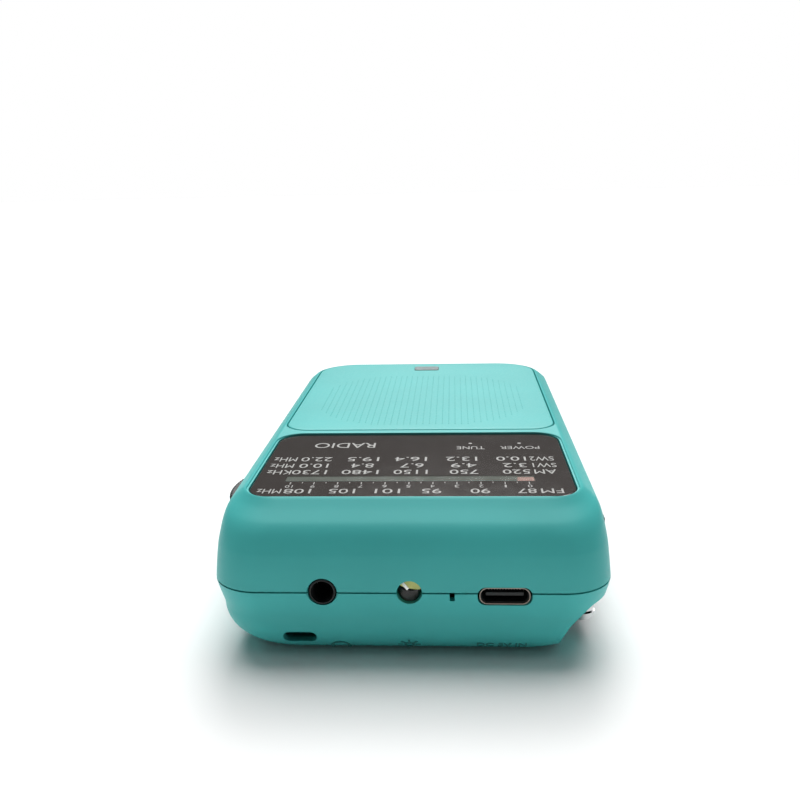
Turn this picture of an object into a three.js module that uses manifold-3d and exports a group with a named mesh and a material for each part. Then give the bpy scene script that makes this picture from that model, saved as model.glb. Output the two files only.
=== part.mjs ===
// Pocket emergency radio: dial, speaker, flashlight, sockets and telescopic antenna, in millimetres.
// It lies on its back. +Z is the dial side, -Y the end with the sockets, -X the side with the
// thumbwheels. Places along the radio are given as the distance from the socket end, by fromTop.
// Heights are given from the inside of the back, and FLOOR_Z is its flat outside.
import * as THREE from 'three';
import { mergeVertices } from 'three/addons/utils/BufferGeometryUtils.js';
import Module from 'manifold-3d';

const wasm = await Module();
wasm.setup();

// Case
const LENGTH = 127;
const WIDTH = 72.4;
const HEIGHT = 27.8;
const FLOOR_Z = -0.9;
const SEAM_Z = 13.3;
const SEAM_GAP = 0.3;
const CORNER_RADIUS = 9;
const CORNER_STEPS = 5;
const BACK_ROUND = 9;
const WALL = 1.8;
const CAVITY_TOP_Z = 24.6;
const FIT = 0.3;

// Front face
const LENS = { halfX: 30.6, low: 10.1, high: 50.1, radius: 5, bottom: 25.9, top: 27.4, ledge: 0.6 };
const GRILLE = { halfX: 31, low: 52.6, high: 123, radius: 5.8, farRadius: 9.5, bottom: 26.3 };
const BADGE = { halfX: 3.5, low: 114.6, high: 119.2, bottom: 27.2 };
const SPEAKER = { along: 91, flangeRadius: 25, flangeTop: 24.3 };

// Dial drive
const TUNING = { x: -19.2, along: 32.5, radius: 19.4, bottom: 18.2, top: 21.3, drumTop: 22.6 };
const DRUM_CORD_RADIUS = 14.2;
const CORD_RADIUS = 0.35;
const CORD_Z = 21.95;
const POST = { left: -29.3, right: 28.9, along: 19.3, cordRadius: 2.3, coreRadius: 1.5 };
const POINTER = { x: 21.7, width: 3.3, low: 16.6, high: 22.9, bottom: 26, top: 26.6 };
const DIAL_PLATE = { left: -32.2, right: 32, low: 15.6, high: 48, bottom: 22.9, top: 23.9 };

// Volume, switches and sockets
const VOLUME = { x: -27.1, along: 78, radius: 11, bottom: 13.3, top: 16 };
const KNOB_PROUD = 1.4;
const BAND = { along: 75, travel: 7.5, halfKnob: 3.2, halfBody: 8 };
const LIGHT = { along: 26.5, travel: 3, halfKnob: 2.6, halfBody: 5 };
const KNOB_Z = 16.4;
const BOARD = { left: -33, right: 26, low: 3.4, high: 123.6, bottom: 9.4, top: 10.6 };
const ON_BOARD = BOARD.top + 0.2;
const JACK_X = -15.4;
const USB = { x: 16.7, z: 12.65, width: 8.94, height: 3.16 };
const CHARGE_X = 7.5;
const DIAL_LEDS = [['power_led', 22], ['tune_led', 11.5]];
const DIAL_LED_ALONG = 43.2;

// Battery, screws and strap slot
const BATTERY = { halfX: 17, low: 64.8, high: 117.3, bottom: 1.2, top: 6.9 };
const DOOR = { halfX: 18.9, low: 60, thick: 1.4, tongue: 0.9 };
const SCREWS = [[-26, 10], [8.6, 11.5], [-26, 117.5], [23.3, 119.5]];
const SCREW_HEAD = { radius: 2.1, low: FLOOR_Z + 0.7, high: FLOOR_Z + 2.2 };
const STRAP = { x: -20.1, z: 3.5, width: 6.2, height: 2.6 };

// Antenna, lying along the cut-away back corner
const ANTENNA = { x: 31.9, along: 13.2, z: 5.1, start: 17.4, end: 107.2 };
const TUBE_RADII = [2.6, 2.15, 1.7, 1.25];
const TUBE_WALL = 0.25;
const TUBE_STEP = 1.5;
const ROD_RADIUS = 0.8;
const CHANNEL = [[26.5, -2], [26.9, 3.2], [28.2, 6.2], [30, 7.9], [32.4, 10], [34.2, 10.3], [45, 10.6],
  [45, -2]];
const CHANNEL_WALL = [[24.8, -0.2], [25.1, 3.8], [26.8, 7.4], [28.9, 9.2], [31.4, 11.6], [34, 12.5],
  [45, 13.1], [45, -0.2]];

// The box of the whole radio is centred on the origin, so the case stands a little to one side.
const WHEEL_PROUD = TUNING.radius - TUNING.x - WIDTH / 2;
const CASE_X = (WHEEL_PROUD - KNOB_PROUD) / 2;

const FINISHES = {
  case: [0x56c5c2, 0.45, 0],
  black: [0x1d1e20, 0.5, 0],
  lens: [0x4d4a46, 0.12, 0],
  chrome: [0xd5d8da, 0.18, 1],
  steel: [0xa9acae, 0.35, 1],
  board: [0x1f6b3a, 0.6, 0],
  grey: [0x6b6f72, 0.6, 0],
  white: [0xe8e6df, 0.6, 0],
  red: [0xc86a5c, 0.4, 0],
  clear: [0xe9efc8, 0.1, 0],
  ferrite: [0x39383a, 0.7, 0.1],
  copper: [0xb5703c, 0.4, 0.6],
  paper: [0x2a2826, 0.9, 0],
  battery: [0x2c4d8f, 0.4, 0],
};

// Shared helpers

function fromTop(distance) {
  return distance - LENGTH / 2;
}

function solid(geometry) {
  const bare = geometry.index ? geometry.toNonIndexed() : geometry.clone();
  bare.deleteAttribute('normal');
  bare.deleteAttribute('uv');
  const merged = mergeVertices(bare, 1e-4);
  return new wasm.Manifold(new wasm.Mesh({
    numProp: 3,
    vertProperties: new Float32Array(merged.attributes.position.array),
    triVerts: new Uint32Array(merged.index.array),
  }));
}

function geometryOf(manifold) {
  const mesh = manifold.getMesh();
  const geometry = new THREE.BufferGeometry();
  geometry.setAttribute('position', new THREE.BufferAttribute(mesh.vertProperties, 3));
  geometry.setIndex(new THREE.BufferAttribute(mesh.triVerts, 1));
  geometry.computeVertexNormals();
  return geometry;
}

function join(...pieces) {
  return pieces.reduce((whole, piece) => whole.add(piece));
}

function cut(whole, ...pieces) {
  return pieces.reduce((left, piece) => left.subtract(piece), whole);
}

// A block between two limits on each axis, with the Y limits measured from the socket end.
function block(x0, x1, low, high, z0, z1) {
  const geometry = new THREE.BoxGeometry(x1 - x0, high - low, z1 - z0);
  geometry.translate((x0 + x1) / 2, fromTop((low + high) / 2), (z0 + z1) / 2);
  return solid(geometry);
}

function roundedOutline(halfX, halfY, radius) {
  const shape = new THREE.Shape();
  shape.absarc(halfX - radius, halfY - radius, radius, 0, Math.PI / 2);
  shape.absarc(radius - halfX, halfY - radius, radius, Math.PI / 2, Math.PI);
  shape.absarc(radius - halfX, radius - halfY, radius, Math.PI, Math.PI * 1.5);
  shape.absarc(halfX - radius, radius - halfY, radius, Math.PI * 1.5, Math.PI * 2);
  return shape;
}

// A flat plate with rounded corners.
function plate(halfX, low, high, radius, z0, z1, x = 0) {
  const shape = roundedOutline(halfX, (high - low) / 2, radius);
  const geometry = new THREE.ExtrudeGeometry(shape, {
    depth: z1 - z0, bevelEnabled: false, curveSegments: CORNER_STEPS,
  });
  geometry.translate(x, fromTop((low + high) / 2), z0);
  return solid(geometry);
}

// A round pin standing along Z.
function pin(x, along, radius, z0, z1, sides = 16) {
  const geometry = new THREE.CylinderGeometry(radius, radius, z1 - z0, sides);
  geometry.rotateX(Math.PI / 2);
  geometry.translate(x, fromTop(along), (z0 + z1) / 2);
  return solid(geometry);
}

// A round pin lying along X.
function crossPin(x0, x1, along, z, radius, sides = 16) {
  const geometry = new THREE.CylinderGeometry(radius, radius, x1 - x0, sides);
  geometry.rotateZ(Math.PI / 2);
  geometry.translate((x0 + x1) / 2, fromTop(along), z);
  return solid(geometry);
}

// A turned piece with its axis along Z, from its [radius, height] profile.
function turned(profile, x, along, sides = 24) {
  const points = profile.map(([radius, height]) => new THREE.Vector2(radius, height));
  const geometry = new THREE.LatheGeometry(points, sides);
  geometry.rotateX(Math.PI / 2);
  geometry.translate(x, fromTop(along), 0);
  return solid(geometry);
}

// A turned piece with its axis along Y, from its [radius, distance from the socket end] profile.
function turnedAlong(profile, x, z, sides = 16) {
  const points = profile.map(([radius, distance]) => new THREE.Vector2(radius, fromTop(distance)));
  const geometry = new THREE.LatheGeometry(points, sides);
  geometry.translate(x, 0, z);
  return solid(geometry);
}

// A straight section along Y, from its [x, z] outline.
function section(outline, low, high) {
  const shape = new THREE.Shape(outline.map(([x, z]) => new THREE.Vector2(x, z)));
  const geometry = new THREE.ExtrudeGeometry(shape, { depth: high - low, bevelEnabled: false });
  geometry.rotateX(Math.PI / 2);
  geometry.translate(0, fromTop(high), 0);
  return solid(geometry);
}

// Case shells

// One level of the case: its plan outline drawn in by inset at the sides, by endInset at the
// socket end and by farInset at the other end. Its corners are rounded by radius at the far end
// and by nearRadius at the socket end.
function caseRing(level) {
  const { z, inset, endInset = inset, farInset = inset } = level;
  const { radius = CORNER_RADIUS - inset / 2, nearRadius = radius } = level;
  const side = WIDTH / 2 - inset;
  const far = LENGTH / 2 - farInset;
  const near = endInset - LENGTH / 2;
  const corners = [
    [side - radius, far - radius, radius],
    [radius - side, far - radius, radius],
    [nearRadius - side, near + nearRadius, nearRadius],
    [side - nearRadius, near + nearRadius, nearRadius],
  ];
  const ring = [];
  corners.forEach(([cornerX, cornerY, reach], quarter) => {
    for (let step = 0; step <= CORNER_STEPS; step += 1) {
      const angle = (quarter + step / CORNER_STEPS) * Math.PI / 2;
      ring.push([cornerX + reach * Math.cos(angle), cornerY + reach * Math.sin(angle), z]);
    }
  });
  return ring;
}

// The closed solid through a stack of case levels, from the lowest up.
function loft(levels) {
  const rings = levels.map(caseRing);
  const count = rings[0].length;
  const index = [];
  for (let level = 0; level + 1 < rings.length; level += 1) {
    for (let k = 0; k < count; k += 1) {
      const a = level * count + k;
      const b = level * count + (k + 1) % count;
      index.push(a, b, b + count, a, b + count, a + count);
    }
  }
  const top = (rings.length - 1) * count;
  for (let k = 1; k + 1 < count; k += 1) {
    index.push(0, k + 1, k, top, top + k, top + k + 1);
  }
  const geometry = new THREE.BufferGeometry();
  geometry.setAttribute('position', new THREE.Float32BufferAttribute(rings.flat(2), 3));
  geometry.setIndex(index);
  return solid(geometry);
}

// The back is a quarter ellipse from the flat face up to a drafted wall.
function backOutside() {
  const draft = 1;
  const roundHeight = 9.2;
  const steps = 6;
  const levels = [];
  for (let step = 0; step <= steps; step += 1) {
    const angle = step / steps * Math.PI / 2;
    const inset = BACK_ROUND - (BACK_ROUND - draft) * Math.sin(angle);
    const z = FLOOR_Z + roundHeight * (1 - Math.cos(angle));
    levels.push({ z, inset, radius: CORNER_RADIUS + inset / 6 });
  }
  levels.push({ inset: 0, z: SEAM_Z - SEAM_GAP / 2 });
  return loft(levels);
}

// The front is nearly upright, turns over a soft crease and slopes up to the flat face. The slope
// is long at the socket end and short at the other, and the corners get rounder towards the top.
function frontOutside() {
  return loft([
    { z: SEAM_Z + SEAM_GAP / 2, inset: 0 },
    { z: 17, inset: 0.3, farInset: 0.2 },
    { z: 20.6, inset: 0.65, endInset: 1.1, farInset: 0.4, radius: 9.4 },
    { z: 22.7, inset: 0.95, endInset: 2, farInset: 0.6, radius: 9.8 },
    { z: 24.6, inset: 1.4, endInset: 3.85, farInset: 0.8, radius: 10.5 },
    { z: 25.7, inset: 2, endInset: 5.7, farInset: 1, radius: 11, nearRadius: 10 },
    { z: 26.4, inset: 2.8, endInset: 7, farInset: 1.3, radius: 11.5, nearRadius: 9.4 },
    { z: 27.6, inset: 4.2, endInset: 8.9, farInset: 2, radius: 11.5, nearRadius: 7.4 },
    { z: HEIGHT, inset: 4.8, endInset: 9.3, farInset: 2.6, radius: 11, nearRadius: 6.6 },
  ]);
}

// Everything cut through the end wall: jack, flashlight and USB holes.
function portHoles() {
  const jack = turnedAlong([[0, -3], [2.6, -3], [2.6, 5], [0, 5]], JACK_X, SEAM_Z);
  const lamp = turnedAlong([[0, -3], [2.2, -3], [2.2, 5], [0, 5]], 0, SEAM_Z);
  const usbShape = roundedOutline((USB.width + 0.6) / 2, (USB.height + 0.3) / 2, 1.5);
  const usb = new THREE.ExtrudeGeometry(usbShape, { depth: 8, bevelEnabled: false, curveSegments: 4 });
  usb.rotateX(Math.PI / 2);
  usb.translate(USB.x, fromTop(5), USB.z);
  return join(jack, lamp, solid(usb));
}

// Room for both thumbwheels and for the cord drum, which comes close to the side wall.
function wheelRoom() {
  const tuning = pin(TUNING.x, TUNING.along, TUNING.radius + 0.5, 17.8, 21.7, 60);
  const drum = pin(TUNING.x, TUNING.along, DRUM_CORD_RADIUS + 1, 21.4, TUNING.drumTop + 0.2, 40);
  const volume = pin(VOLUME.x, VOLUME.along, VOLUME.radius + 0.5, 12.9, 16.4, 48);
  return join(tuning, drum, volume);
}

function knobSlots() {
  const slots = [BAND, LIGHT].map(({ along, travel, halfKnob }) => (
    block(34, 42, along - halfKnob - FIT, along + travel + halfKnob + FIT, KNOB_Z - 1.8, KNOB_Z + 1.8)
  ));
  return join(...slots);
}

function frontShell() {
  const cavity = loft([
    { inset: WALL, z: 12 },
    { inset: WALL + 0.3, z: 17 },
    { inset: WALL + 0.8, endInset: 3.5, z: 21.5 },
    { inset: 3.4, endInset: 6.3, z: CAVITY_TOP_Z },
  ]);
  const posts = SCREWS.map(([x, along]) => pin(x, along, 2.8, 10.9, CAVITY_TOP_Z + 0.3));
  const pilots = SCREWS.map(([x, along]) => pin(x, along, 1.2, 10, 20, 8));
  const ledHoles = DIAL_LEDS.map(([, x]) => pin(x, DIAL_LED_ALONG, 1.5, 24, 26, 12));
  const lensPocket = plate(LENS.halfX + 0.2, LENS.low - 0.2, LENS.high + 0.2, 5.2, 25.7, 30);
  const lensLedge = plate(LENS.halfX + LENS.ledge, LENS.low - LENS.ledge, LENS.high + 0.4, 5.5,
    LENS.top - 0.05, 30);
  const grillePocket = grillePlate(0.2, 26.1, 30);
  const pointerWindow = block(-28, 27, 14.8, 24, 24, 26);
  const soundHole = pin(0, SPEAKER.along, 22.5, 24, 27, 32);
  const shell = join(cut(frontOutside(), cavity), ...posts);
  return cut(shell, ...pilots, ...ledHoles, lensPocket, lensLedge, grillePocket, pointerWindow, soundHole,
    portHoles(), wheelRoom(), knobSlots());
}

// Walls and roof of the battery well, with the thick rails that the door slides under.
function batteryWell() {
  const rails = block(-21.5, 21.5, DOOR.low - 2, 120, FLOOR_Z + 0.5, FLOOR_Z + 3.2);
  const tub = block(-18.9, 18.9, 61.4, 118.8, FLOOR_Z + 0.5, 8.2);
  return join(rails, tub);
}

function doorSpace() {
  const recess = block(-DOOR.halfX - FIT, DOOR.halfX + FIT, DOOR.low - FIT, 130,
    -2, FLOOR_Z + DOOR.thick + FIT);
  const grooveX = DOOR.halfX + DOOR.tongue + FIT;
  const groove = block(-grooveX, grooveX, DOOR.low - FIT, 130, FLOOR_Z + 0.3, FLOOR_Z + 1.45);
  const well = block(-17.5, 17.5, 62.6, 117.6, 0, 7.2);
  return join(recess, groove, well);
}

// The strap goes in at the end and comes out of the back, round the corner of the case.
function strapHoles() {
  const halfX = STRAP.width / 2;
  const mouth = roundedOutline(halfX, STRAP.height / 2, 1.2);
  const end = new THREE.ExtrudeGeometry(mouth, { depth: 9, bevelEnabled: false, curveSegments: 4 });
  end.rotateX(Math.PI / 2);
  end.translate(STRAP.x, fromTop(8), STRAP.z);
  const back = block(STRAP.x - halfX, STRAP.x + halfX, 10.4, 13, -2, 3);
  return join(solid(end), back);
}

function backShell() {
  const outside = backOutside();
  const cavity = loft([
    { inset: 7, z: FLOOR_Z + WALL },
    { inset: 4.4, z: 2.6 },
    { inset: 2.9, z: 7 },
    { inset: 1.9, z: 11 },
    { inset: WALL, z: 14 },
  ]);
  const channelWall = section(CHANNEL_WALL, -1, LENGTH + 1);
  const knuckleWall = block(24.9, 40, 7, 20.6, 0, 12);
  const posts = SCREWS.map(([x, along]) => pin(x, along, 3.2, FLOOR_Z + 0.5, 9));
  const inner = join(channelWall, knuckleWall, batteryWell(), ...posts).intersect(outside);
  const heads = SCREWS.map(([x, along]) => pin(x, along, SCREW_HEAD.radius + FIT, -2, FLOOR_Z + 2.4));
  const shanks = SCREWS.map(([x, along]) => pin(x, along, 1.3, 0, 10, 8));
  const channel = section(CHANNEL, -2, LENGTH + 2);
  const knuckleRoom = block(26.5, 34.8, 8.6, 19, 1, 9.6);
  const stubHole = crossPin(22, 29, ANTENNA.along, ANTENNA.z, 1.7, 12);
  const chargeNotch = block(CHARGE_X - 0.5, CHARGE_X + 0.5, -1, 4, SEAM_Z - 1.6, SEAM_Z + 1);
  return cut(join(cut(outside, cavity), inner), ...heads, ...shanks, channel, knuckleRoom, stubHole,
    doorSpace(), strapHoles(), portHoles(), chargeNotch, wheelRoom());
}

// The door follows the rounded end of the back, and its tongues run in the rails' grooves.
function batteryDoor() {
  const skin = backOutside().intersect(
    block(-DOOR.halfX, DOOR.halfX, DOOR.low, 130, -2, FLOOR_Z + DOOR.thick));
  const tongueX = DOOR.halfX + DOOR.tongue;
  const tongues = block(-tongueX, tongueX, DOOR.low + 1, 116, FLOOR_Z + 0.55, FLOOR_Z + 1.15);
  const grips = [0, 1, 2, 3].map((row) => block(-6, 6, 66 + row * 2, 67 + row * 2, -2, FLOOR_Z + 0.4));
  return cut(join(skin, tongues), ...grips);
}

// Front face pieces

// The dial window, with a groove underneath for the pointer.
function dialLens() {
  const groove = block(-28, 27, POINTER.low - 0.4, POINTER.high + 0.5, 25, POINTER.top + FIT);
  return cut(plate(LENS.halfX, LENS.low, LENS.high, LENS.radius, LENS.bottom, LENS.top), groove);
}

// The speaker panel's outline, let out by margin, with rounder corners at the far end.
function grillePlate(margin, z0, z1) {
  const { halfX, low, high, radius, farRadius } = GRILLE;
  const x = halfX + margin;
  const near = fromTop(low) - margin;
  const far = fromTop(high) + margin;
  const shape = new THREE.Shape();
  shape.absarc(x - farRadius, far - farRadius, farRadius, 0, Math.PI / 2);
  shape.absarc(farRadius - x, far - farRadius, farRadius, Math.PI / 2, Math.PI);
  shape.absarc(radius - x, near + radius, radius, Math.PI, Math.PI * 1.5);
  shape.absarc(x - radius, near + radius, radius, Math.PI * 1.5, Math.PI * 2);
  const geometry = new THREE.ExtrudeGeometry(shape, {
    depth: z1 - z0, bevelEnabled: false, curveSegments: CORNER_STEPS,
  });
  geometry.translate(0, 0, z0);
  return solid(geometry);
}

// The perforated panel over the speaker, with a shallow seat for the badge.
function speakerGrille() {
  const pitch = 4.6;
  const rows = 4;
  const holes = [];
  for (let row = -rows; row <= rows; row += 1) {
    for (let column = -rows; column <= rows; column += 1) {
      if (Math.hypot(row, column) <= rows + 0.4) {
        const x = column * pitch;
        const along = SPEAKER.along + row * pitch;
        holes.push(block(x - 0.7, x + 0.7, along - 0.7, along + 0.7, 26, 28));
      }
    }
  }
  const panel = grillePlate(0, GRILLE.bottom, HEIGHT);
  const seat = plate(BADGE.halfX + 0.2, BADGE.low - 0.2, BADGE.high + 0.2, 0.9, 27, 28);
  return cut(panel, seat, ...holes);
}

function grilleBadge() {
  return plate(BADGE.halfX, BADGE.low, BADGE.high, 0.7, BADGE.bottom, HEIGHT);
}

// Dial drive: wheel and drum, cord, guide posts and pointer

// The plate under the window, with a raised strip that backs the pointer.
function dialPlate() {
  const { left, right, low, high, bottom, top } = DIAL_PLATE;
  const sheet = block(left, right, low, high, bottom, top);
  const strip = block(-27.6, 26.6, 17.7, 23.3, top - 0.2, POINTER.bottom - FIT);
  const pads = [[left + 3, 44], [right - 3, 44], [right - 3, 28]].map(([x, along]) => (
    pin(x, along, 1.5, top - 0.2, 24.3, 12)
  ));
  const slot = block(-28, 26, 16.3, 17.7, bottom - 1, top + 1);
  const ledHoles = DIAL_LEDS.map(([, x]) => pin(x, DIAL_LED_ALONG, 1.5, bottom - 1, top + 1, 12));
  return cut(join(sheet, strip, ...pads), slot, ...ledHoles);
}

function tuningWheel() {
  const rim = pin(TUNING.x, TUNING.along, TUNING.radius, TUNING.bottom, TUNING.top, 60);
  const drum = pin(TUNING.x, TUNING.along, DRUM_CORD_RADIUS - CORD_RADIUS - 0.15,
    TUNING.top - 0.2, TUNING.drumTop, 40);
  const spigot = pin(TUNING.x, TUNING.along, 2.8, 14.6, TUNING.bottom + 0.2);
  const screwSeat = pin(TUNING.x, TUNING.along, 3, 20.6, 24);
  const screwHole = pin(TUNING.x, TUNING.along, 1.2, 15.2, 21, 8);
  return cut(join(rim, drum, spigot), screwSeat, screwHole);
}

function tuningCapacitor() {
  const half = 10;
  const { x, along } = TUNING;
  const can = block(x - half, x + half, along - half, along + half, ON_BOARD, 17.4);
  return cut(can, pin(x, along, 3.1, 14.2, 19));
}

// Outer tangent from one pulley circle to the next, as the unit vector from centre to touch point.
function beltNormal(from, to) {
  const run = new THREE.Vector2(to.x - from.x, to.y - from.y);
  const cosine = (from.radius - to.radius) / run.length();
  const sine = Math.sqrt(1 - cosine * cosine);
  run.normalize();
  return new THREE.Vector2(run.x * cosine + run.y * sine, run.y * cosine - run.x * sine);
}

function arcAround(circle, startAngle, endAngle) {
  const steps = Math.max(2, Math.ceil((endAngle - startAngle) / 0.2));
  const points = [];
  for (let step = 0; step <= steps; step += 1) {
    const angle = startAngle + (endAngle - startAngle) * step / steps;
    points.push(new THREE.Vector3(circle.x + circle.radius * Math.cos(angle),
      circle.y + circle.radius * Math.sin(angle), CORD_Z));
  }
  return points;
}

// The dial cord runs round both posts and the drum, and its two ends meet at the drum.
function dialCord() {
  const y = fromTop(POST.along);
  const drum = { x: TUNING.x, y: fromTop(TUNING.along), radius: DRUM_CORD_RADIUS };
  const left = { x: POST.left, y, radius: POST.cordRadius };
  const right = { x: POST.right, y, radius: POST.cordRadius };
  const bottom = beltNormal(left, right).angle() - Math.PI * 2;
  const rightSide = beltNormal(right, drum).angle();
  const leftSide = beltNormal(drum, left).angle();
  const knot = Math.PI * 0.55;
  const halfGap = 0.05;
  const points = [
    ...arcAround(drum, knot + halfGap, leftSide),
    ...arcAround(left, leftSide, bottom + Math.PI * 2),
    ...arcAround(right, bottom, rightSide),
    ...arcAround(drum, rightSide, knot - halfGap),
  ];
  const path = new THREE.CurvePath();
  for (let k = 0; k + 1 < points.length; k += 1) {
    path.add(new THREE.LineCurve3(points[k], points[k + 1]));
  }
  const circle = new THREE.Shape();
  circle.absarc(0, 0, CORD_RADIUS, 0, Math.PI * 2);
  return solid(new THREE.ExtrudeGeometry(circle, { steps: 80, curveSegments: 4, extrudePath: path }));
}

function cordPost(x) {
  return turned([[0, 21.3], [2.1, 21.3], [2.1, 21.5], [POST.coreRadius, 21.5],
    [POST.coreRadius, DIAL_PLATE.bottom - 0.05], [0, DIAL_PLATE.bottom - 0.05]], x, POST.along, 12);
}

// A blade over the dial plate, a neck through its slot and a fork over the cord.
function dialPointer() {
  const { x, width, low, high, bottom, top } = POINTER;
  const half = width / 2;
  const cordAlong = POST.along - POST.cordRadius;
  const blade = block(x - half, x + half, low, high, bottom, top);
  const neck = block(x - half + 0.3, x + half - 0.3, cordAlong - 0.3, cordAlong + 0.3, 22.5, bottom + 0.2);
  const bridge = block(x - half + 0.3, x + half - 0.3, cordAlong - 0.95, cordAlong + 0.95, 22.45, 22.75);
  const prongs = [-0.95, 0.55].map((side) => (
    block(x - half + 0.3, x + half - 0.3, cordAlong + side, cordAlong + side + 0.4, 21.5, 22.6)
  ));
  return join(blade, neck, bridge, ...prongs);
}

// Volume control

function volumeWheel() {
  const { x, along, radius, bottom, top } = VOLUME;
  const rim = pin(x, along, radius, bottom, top, 48);
  const spigot = pin(x, along, 2.4, 11.4, bottom + 0.2);
  return cut(join(rim, spigot), pin(x, along, 2.3, 14.7, top + 1), pin(x, along, 1, 11.8, 15, 8));
}

function volumeControl() {
  const { x, along } = VOLUME;
  return cut(pin(x, along, 6.5, ON_BOARD, 12.9, 24), pin(x, along, 2.7, 11.1, 14));
}

function headedScrew(x, along, headRadius, headLow, headHigh, shankRadius, shankLow, shankHigh) {
  const head = pin(x, along, headRadius, headLow, headHigh);
  const shank = pin(x, along, shankRadius, shankLow, shankHigh, 8);
  return join(head, shank);
}

// Slide switches on the antenna side

function switchBody({ along, travel, halfBody }) {
  const middle = along + travel / 2;
  return block(19.8, 26, middle - halfBody, middle + halfBody, ON_BOARD, 17.6);
}

// The cap stands out of the case, the flange covers the slot from inside, the stem works the switch.
function switchKnob({ along, travel, halfKnob }) {
  const capX = WIDTH / 2 + KNOB_PROUD;
  const cap = block(33.6, capX, along - halfKnob, along + halfKnob, KNOB_Z - 1.5, KNOB_Z + 1.5);
  const reach = halfKnob + travel;
  const flange = block(32.4, 33.7, along - reach, along + reach, KNOB_Z - 2.3, KNOB_Z + 2.3);
  const stem = block(26.3, 32.6, along - 1.4, along + 1.4, KNOB_Z - 1, KNOB_Z + 1);
  const grooves = [-1, 0, 1].map((line) => (
    block(capX - 0.4, capX + 1, along + line - 0.25, along + line + 0.25, KNOB_Z - 2, KNOB_Z + 2)
  ));
  return cut(join(cap, flange, stem), ...grooves);
}

// Sockets and lights

function headphoneJack() {
  const body = block(JACK_X - 3.1, JACK_X + 3.1, 2.3, 13.5, ON_BOARD, 16.2);
  const nose = turnedAlong([[0, 0.3], [2.35, 0.3], [2.35, 3], [0, 3]], JACK_X, SEAM_Z, 24);
  const bore = turnedAlong([[0, -1], [1.8, -1], [1.8, 12], [0, 12]], JACK_X, SEAM_Z, 24);
  return cut(join(body, nose), bore);
}

function usbTube(width, height, low, high) {
  const shape = roundedOutline(width / 2, height / 2, height * 0.46);
  const tube = new THREE.ExtrudeGeometry(shape, {
    depth: high - low, bevelEnabled: false, curveSegments: 5,
  });
  tube.rotateX(Math.PI / 2);
  tube.translate(USB.x, fromTop(high), USB.z);
  return solid(tube);
}

function usbSocket() {
  const shell = cut(usbTube(USB.width, USB.height, 1.2, 8.7),
    usbTube(USB.width - 0.6, USB.height - 0.6, 0, 8.4));
  const legs = [-4, 3.4].map((side) => block(USB.x + side, USB.x + side + 0.6, 4, 7, ON_BOARD, 11.6));
  return join(shell, ...legs);
}

function usbTongue() {
  const base = usbTube(USB.width - 1, USB.height - 1, 5.6, 8.2);
  const tongue = block(USB.x - 3.35, USB.x + 3.35, 2, 6, USB.z - 0.35, USB.z + 0.35);
  return join(base, tongue);
}

function flashlightLed() {
  const radius = 2;
  const dome = 1;
  const front = 0.1;
  const profile = [[0, front]];
  for (let step = 1; step <= 4; step += 1) {
    const angle = step / 4 * Math.PI / 2;
    profile.push([radius * Math.sin(angle), front + dome * (1 - Math.cos(angle))]);
  }
  profile.push([radius, 6.4], [2.4, 6.4], [2.4, 7.3], [0, 7.3]);
  const lamp = turnedAlong(profile, 0, SEAM_Z);
  const legs = [-1.5, 1].map((side) => block(side, side + 0.5, 7.1, 7.7, ON_BOARD, SEAM_Z));
  return join(lamp, ...legs);
}

function dialLed(x) {
  const lamp = pin(x, DIAL_LED_ALONG, 1, 19.5, 24.9, 12);
  const base = pin(x, DIAL_LED_ALONG, 1.4, 19, 19.8, 12);
  const legs = [-0.9, 0.4].map((side) => (
    block(x + side, x + side + 0.5, DIAL_LED_ALONG - 0.25, DIAL_LED_ALONG + 0.25, ON_BOARD, 19.2)
  ));
  return join(lamp, base, ...legs);
}

// Circuit board and what it carries

function circuitBoard() {
  const middle = (BOARD.left + BOARD.right) / 2;
  const sheet = plate((BOARD.right - BOARD.left) / 2, BOARD.low, BOARD.high, 7,
    BOARD.bottom, BOARD.top, middle);
  const knuckleCorner = block(24.4, 30, 0, 21.2, 8, 12);
  const holes = SCREWS.map(([x, along]) => pin(x, along, 1.5, 8, 12, 8));
  return cut(sheet, knuckleCorner, ...holes);
}

const FERRITE = { along: 57.5, z: 17, radius: 4, halfX: 27 };

function ferriteRod() {
  return crossPin(-FERRITE.halfX, FERRITE.halfX, FERRITE.along, FERRITE.z, FERRITE.radius, 20);
}

function antennaCoil() {
  const spool = crossPin(-3, 13, FERRITE.along, FERRITE.z, 5.1, 20);
  return cut(spool, crossPin(-4, 14, FERRITE.along, FERRITE.z, FERRITE.radius + 0.25, 20));
}

function ferriteClip(x) {
  const { along, z, radius } = FERRITE;
  const holder = block(x - 1.5, x + 1.5, along - 5, along + 5, ON_BOARD, z + 0.5);
  return cut(holder, crossPin(x - 3, x + 3, along, z, radius + 0.25, 20));
}

function radioChip() {
  return block(0, 18, 30, 37.5, ON_BOARD, 13.2);
}

function filterCan(x) {
  return block(x - 3.7, x + 3.7, 20, 27.4, ON_BOARD, 17.2);
}

function smoothingCapacitor() {
  return pin(15.5, 47, 3.1, ON_BOARD, 16.5);
}

// Speaker

function speakerBasket() {
  const { along, flangeRadius, flangeTop } = SPEAKER;
  return turned([[13.6, 15.2], [14.6, 15.2], [22.4, 22], [flangeRadius, 22.8],
    [flangeRadius, flangeTop], [22.6, flangeTop], [22.6, 23.2], [21.6, 22.8], [13.6, 16.2],
    [13.6, 15.2]], 0, along, 32);
}

function speakerCone() {
  return turned([[0, 19.6], [3, 19], [5, 17.6], [12, 18], [20.6, 22.9], [22.2, 23.5], [22.2, 24],
    [20.8, 23.6], [12, 18.7], [5.4, 18.4], [3, 20], [0, 20.6], [0, 19.6]], 0, SPEAKER.along, 32);
}

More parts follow.
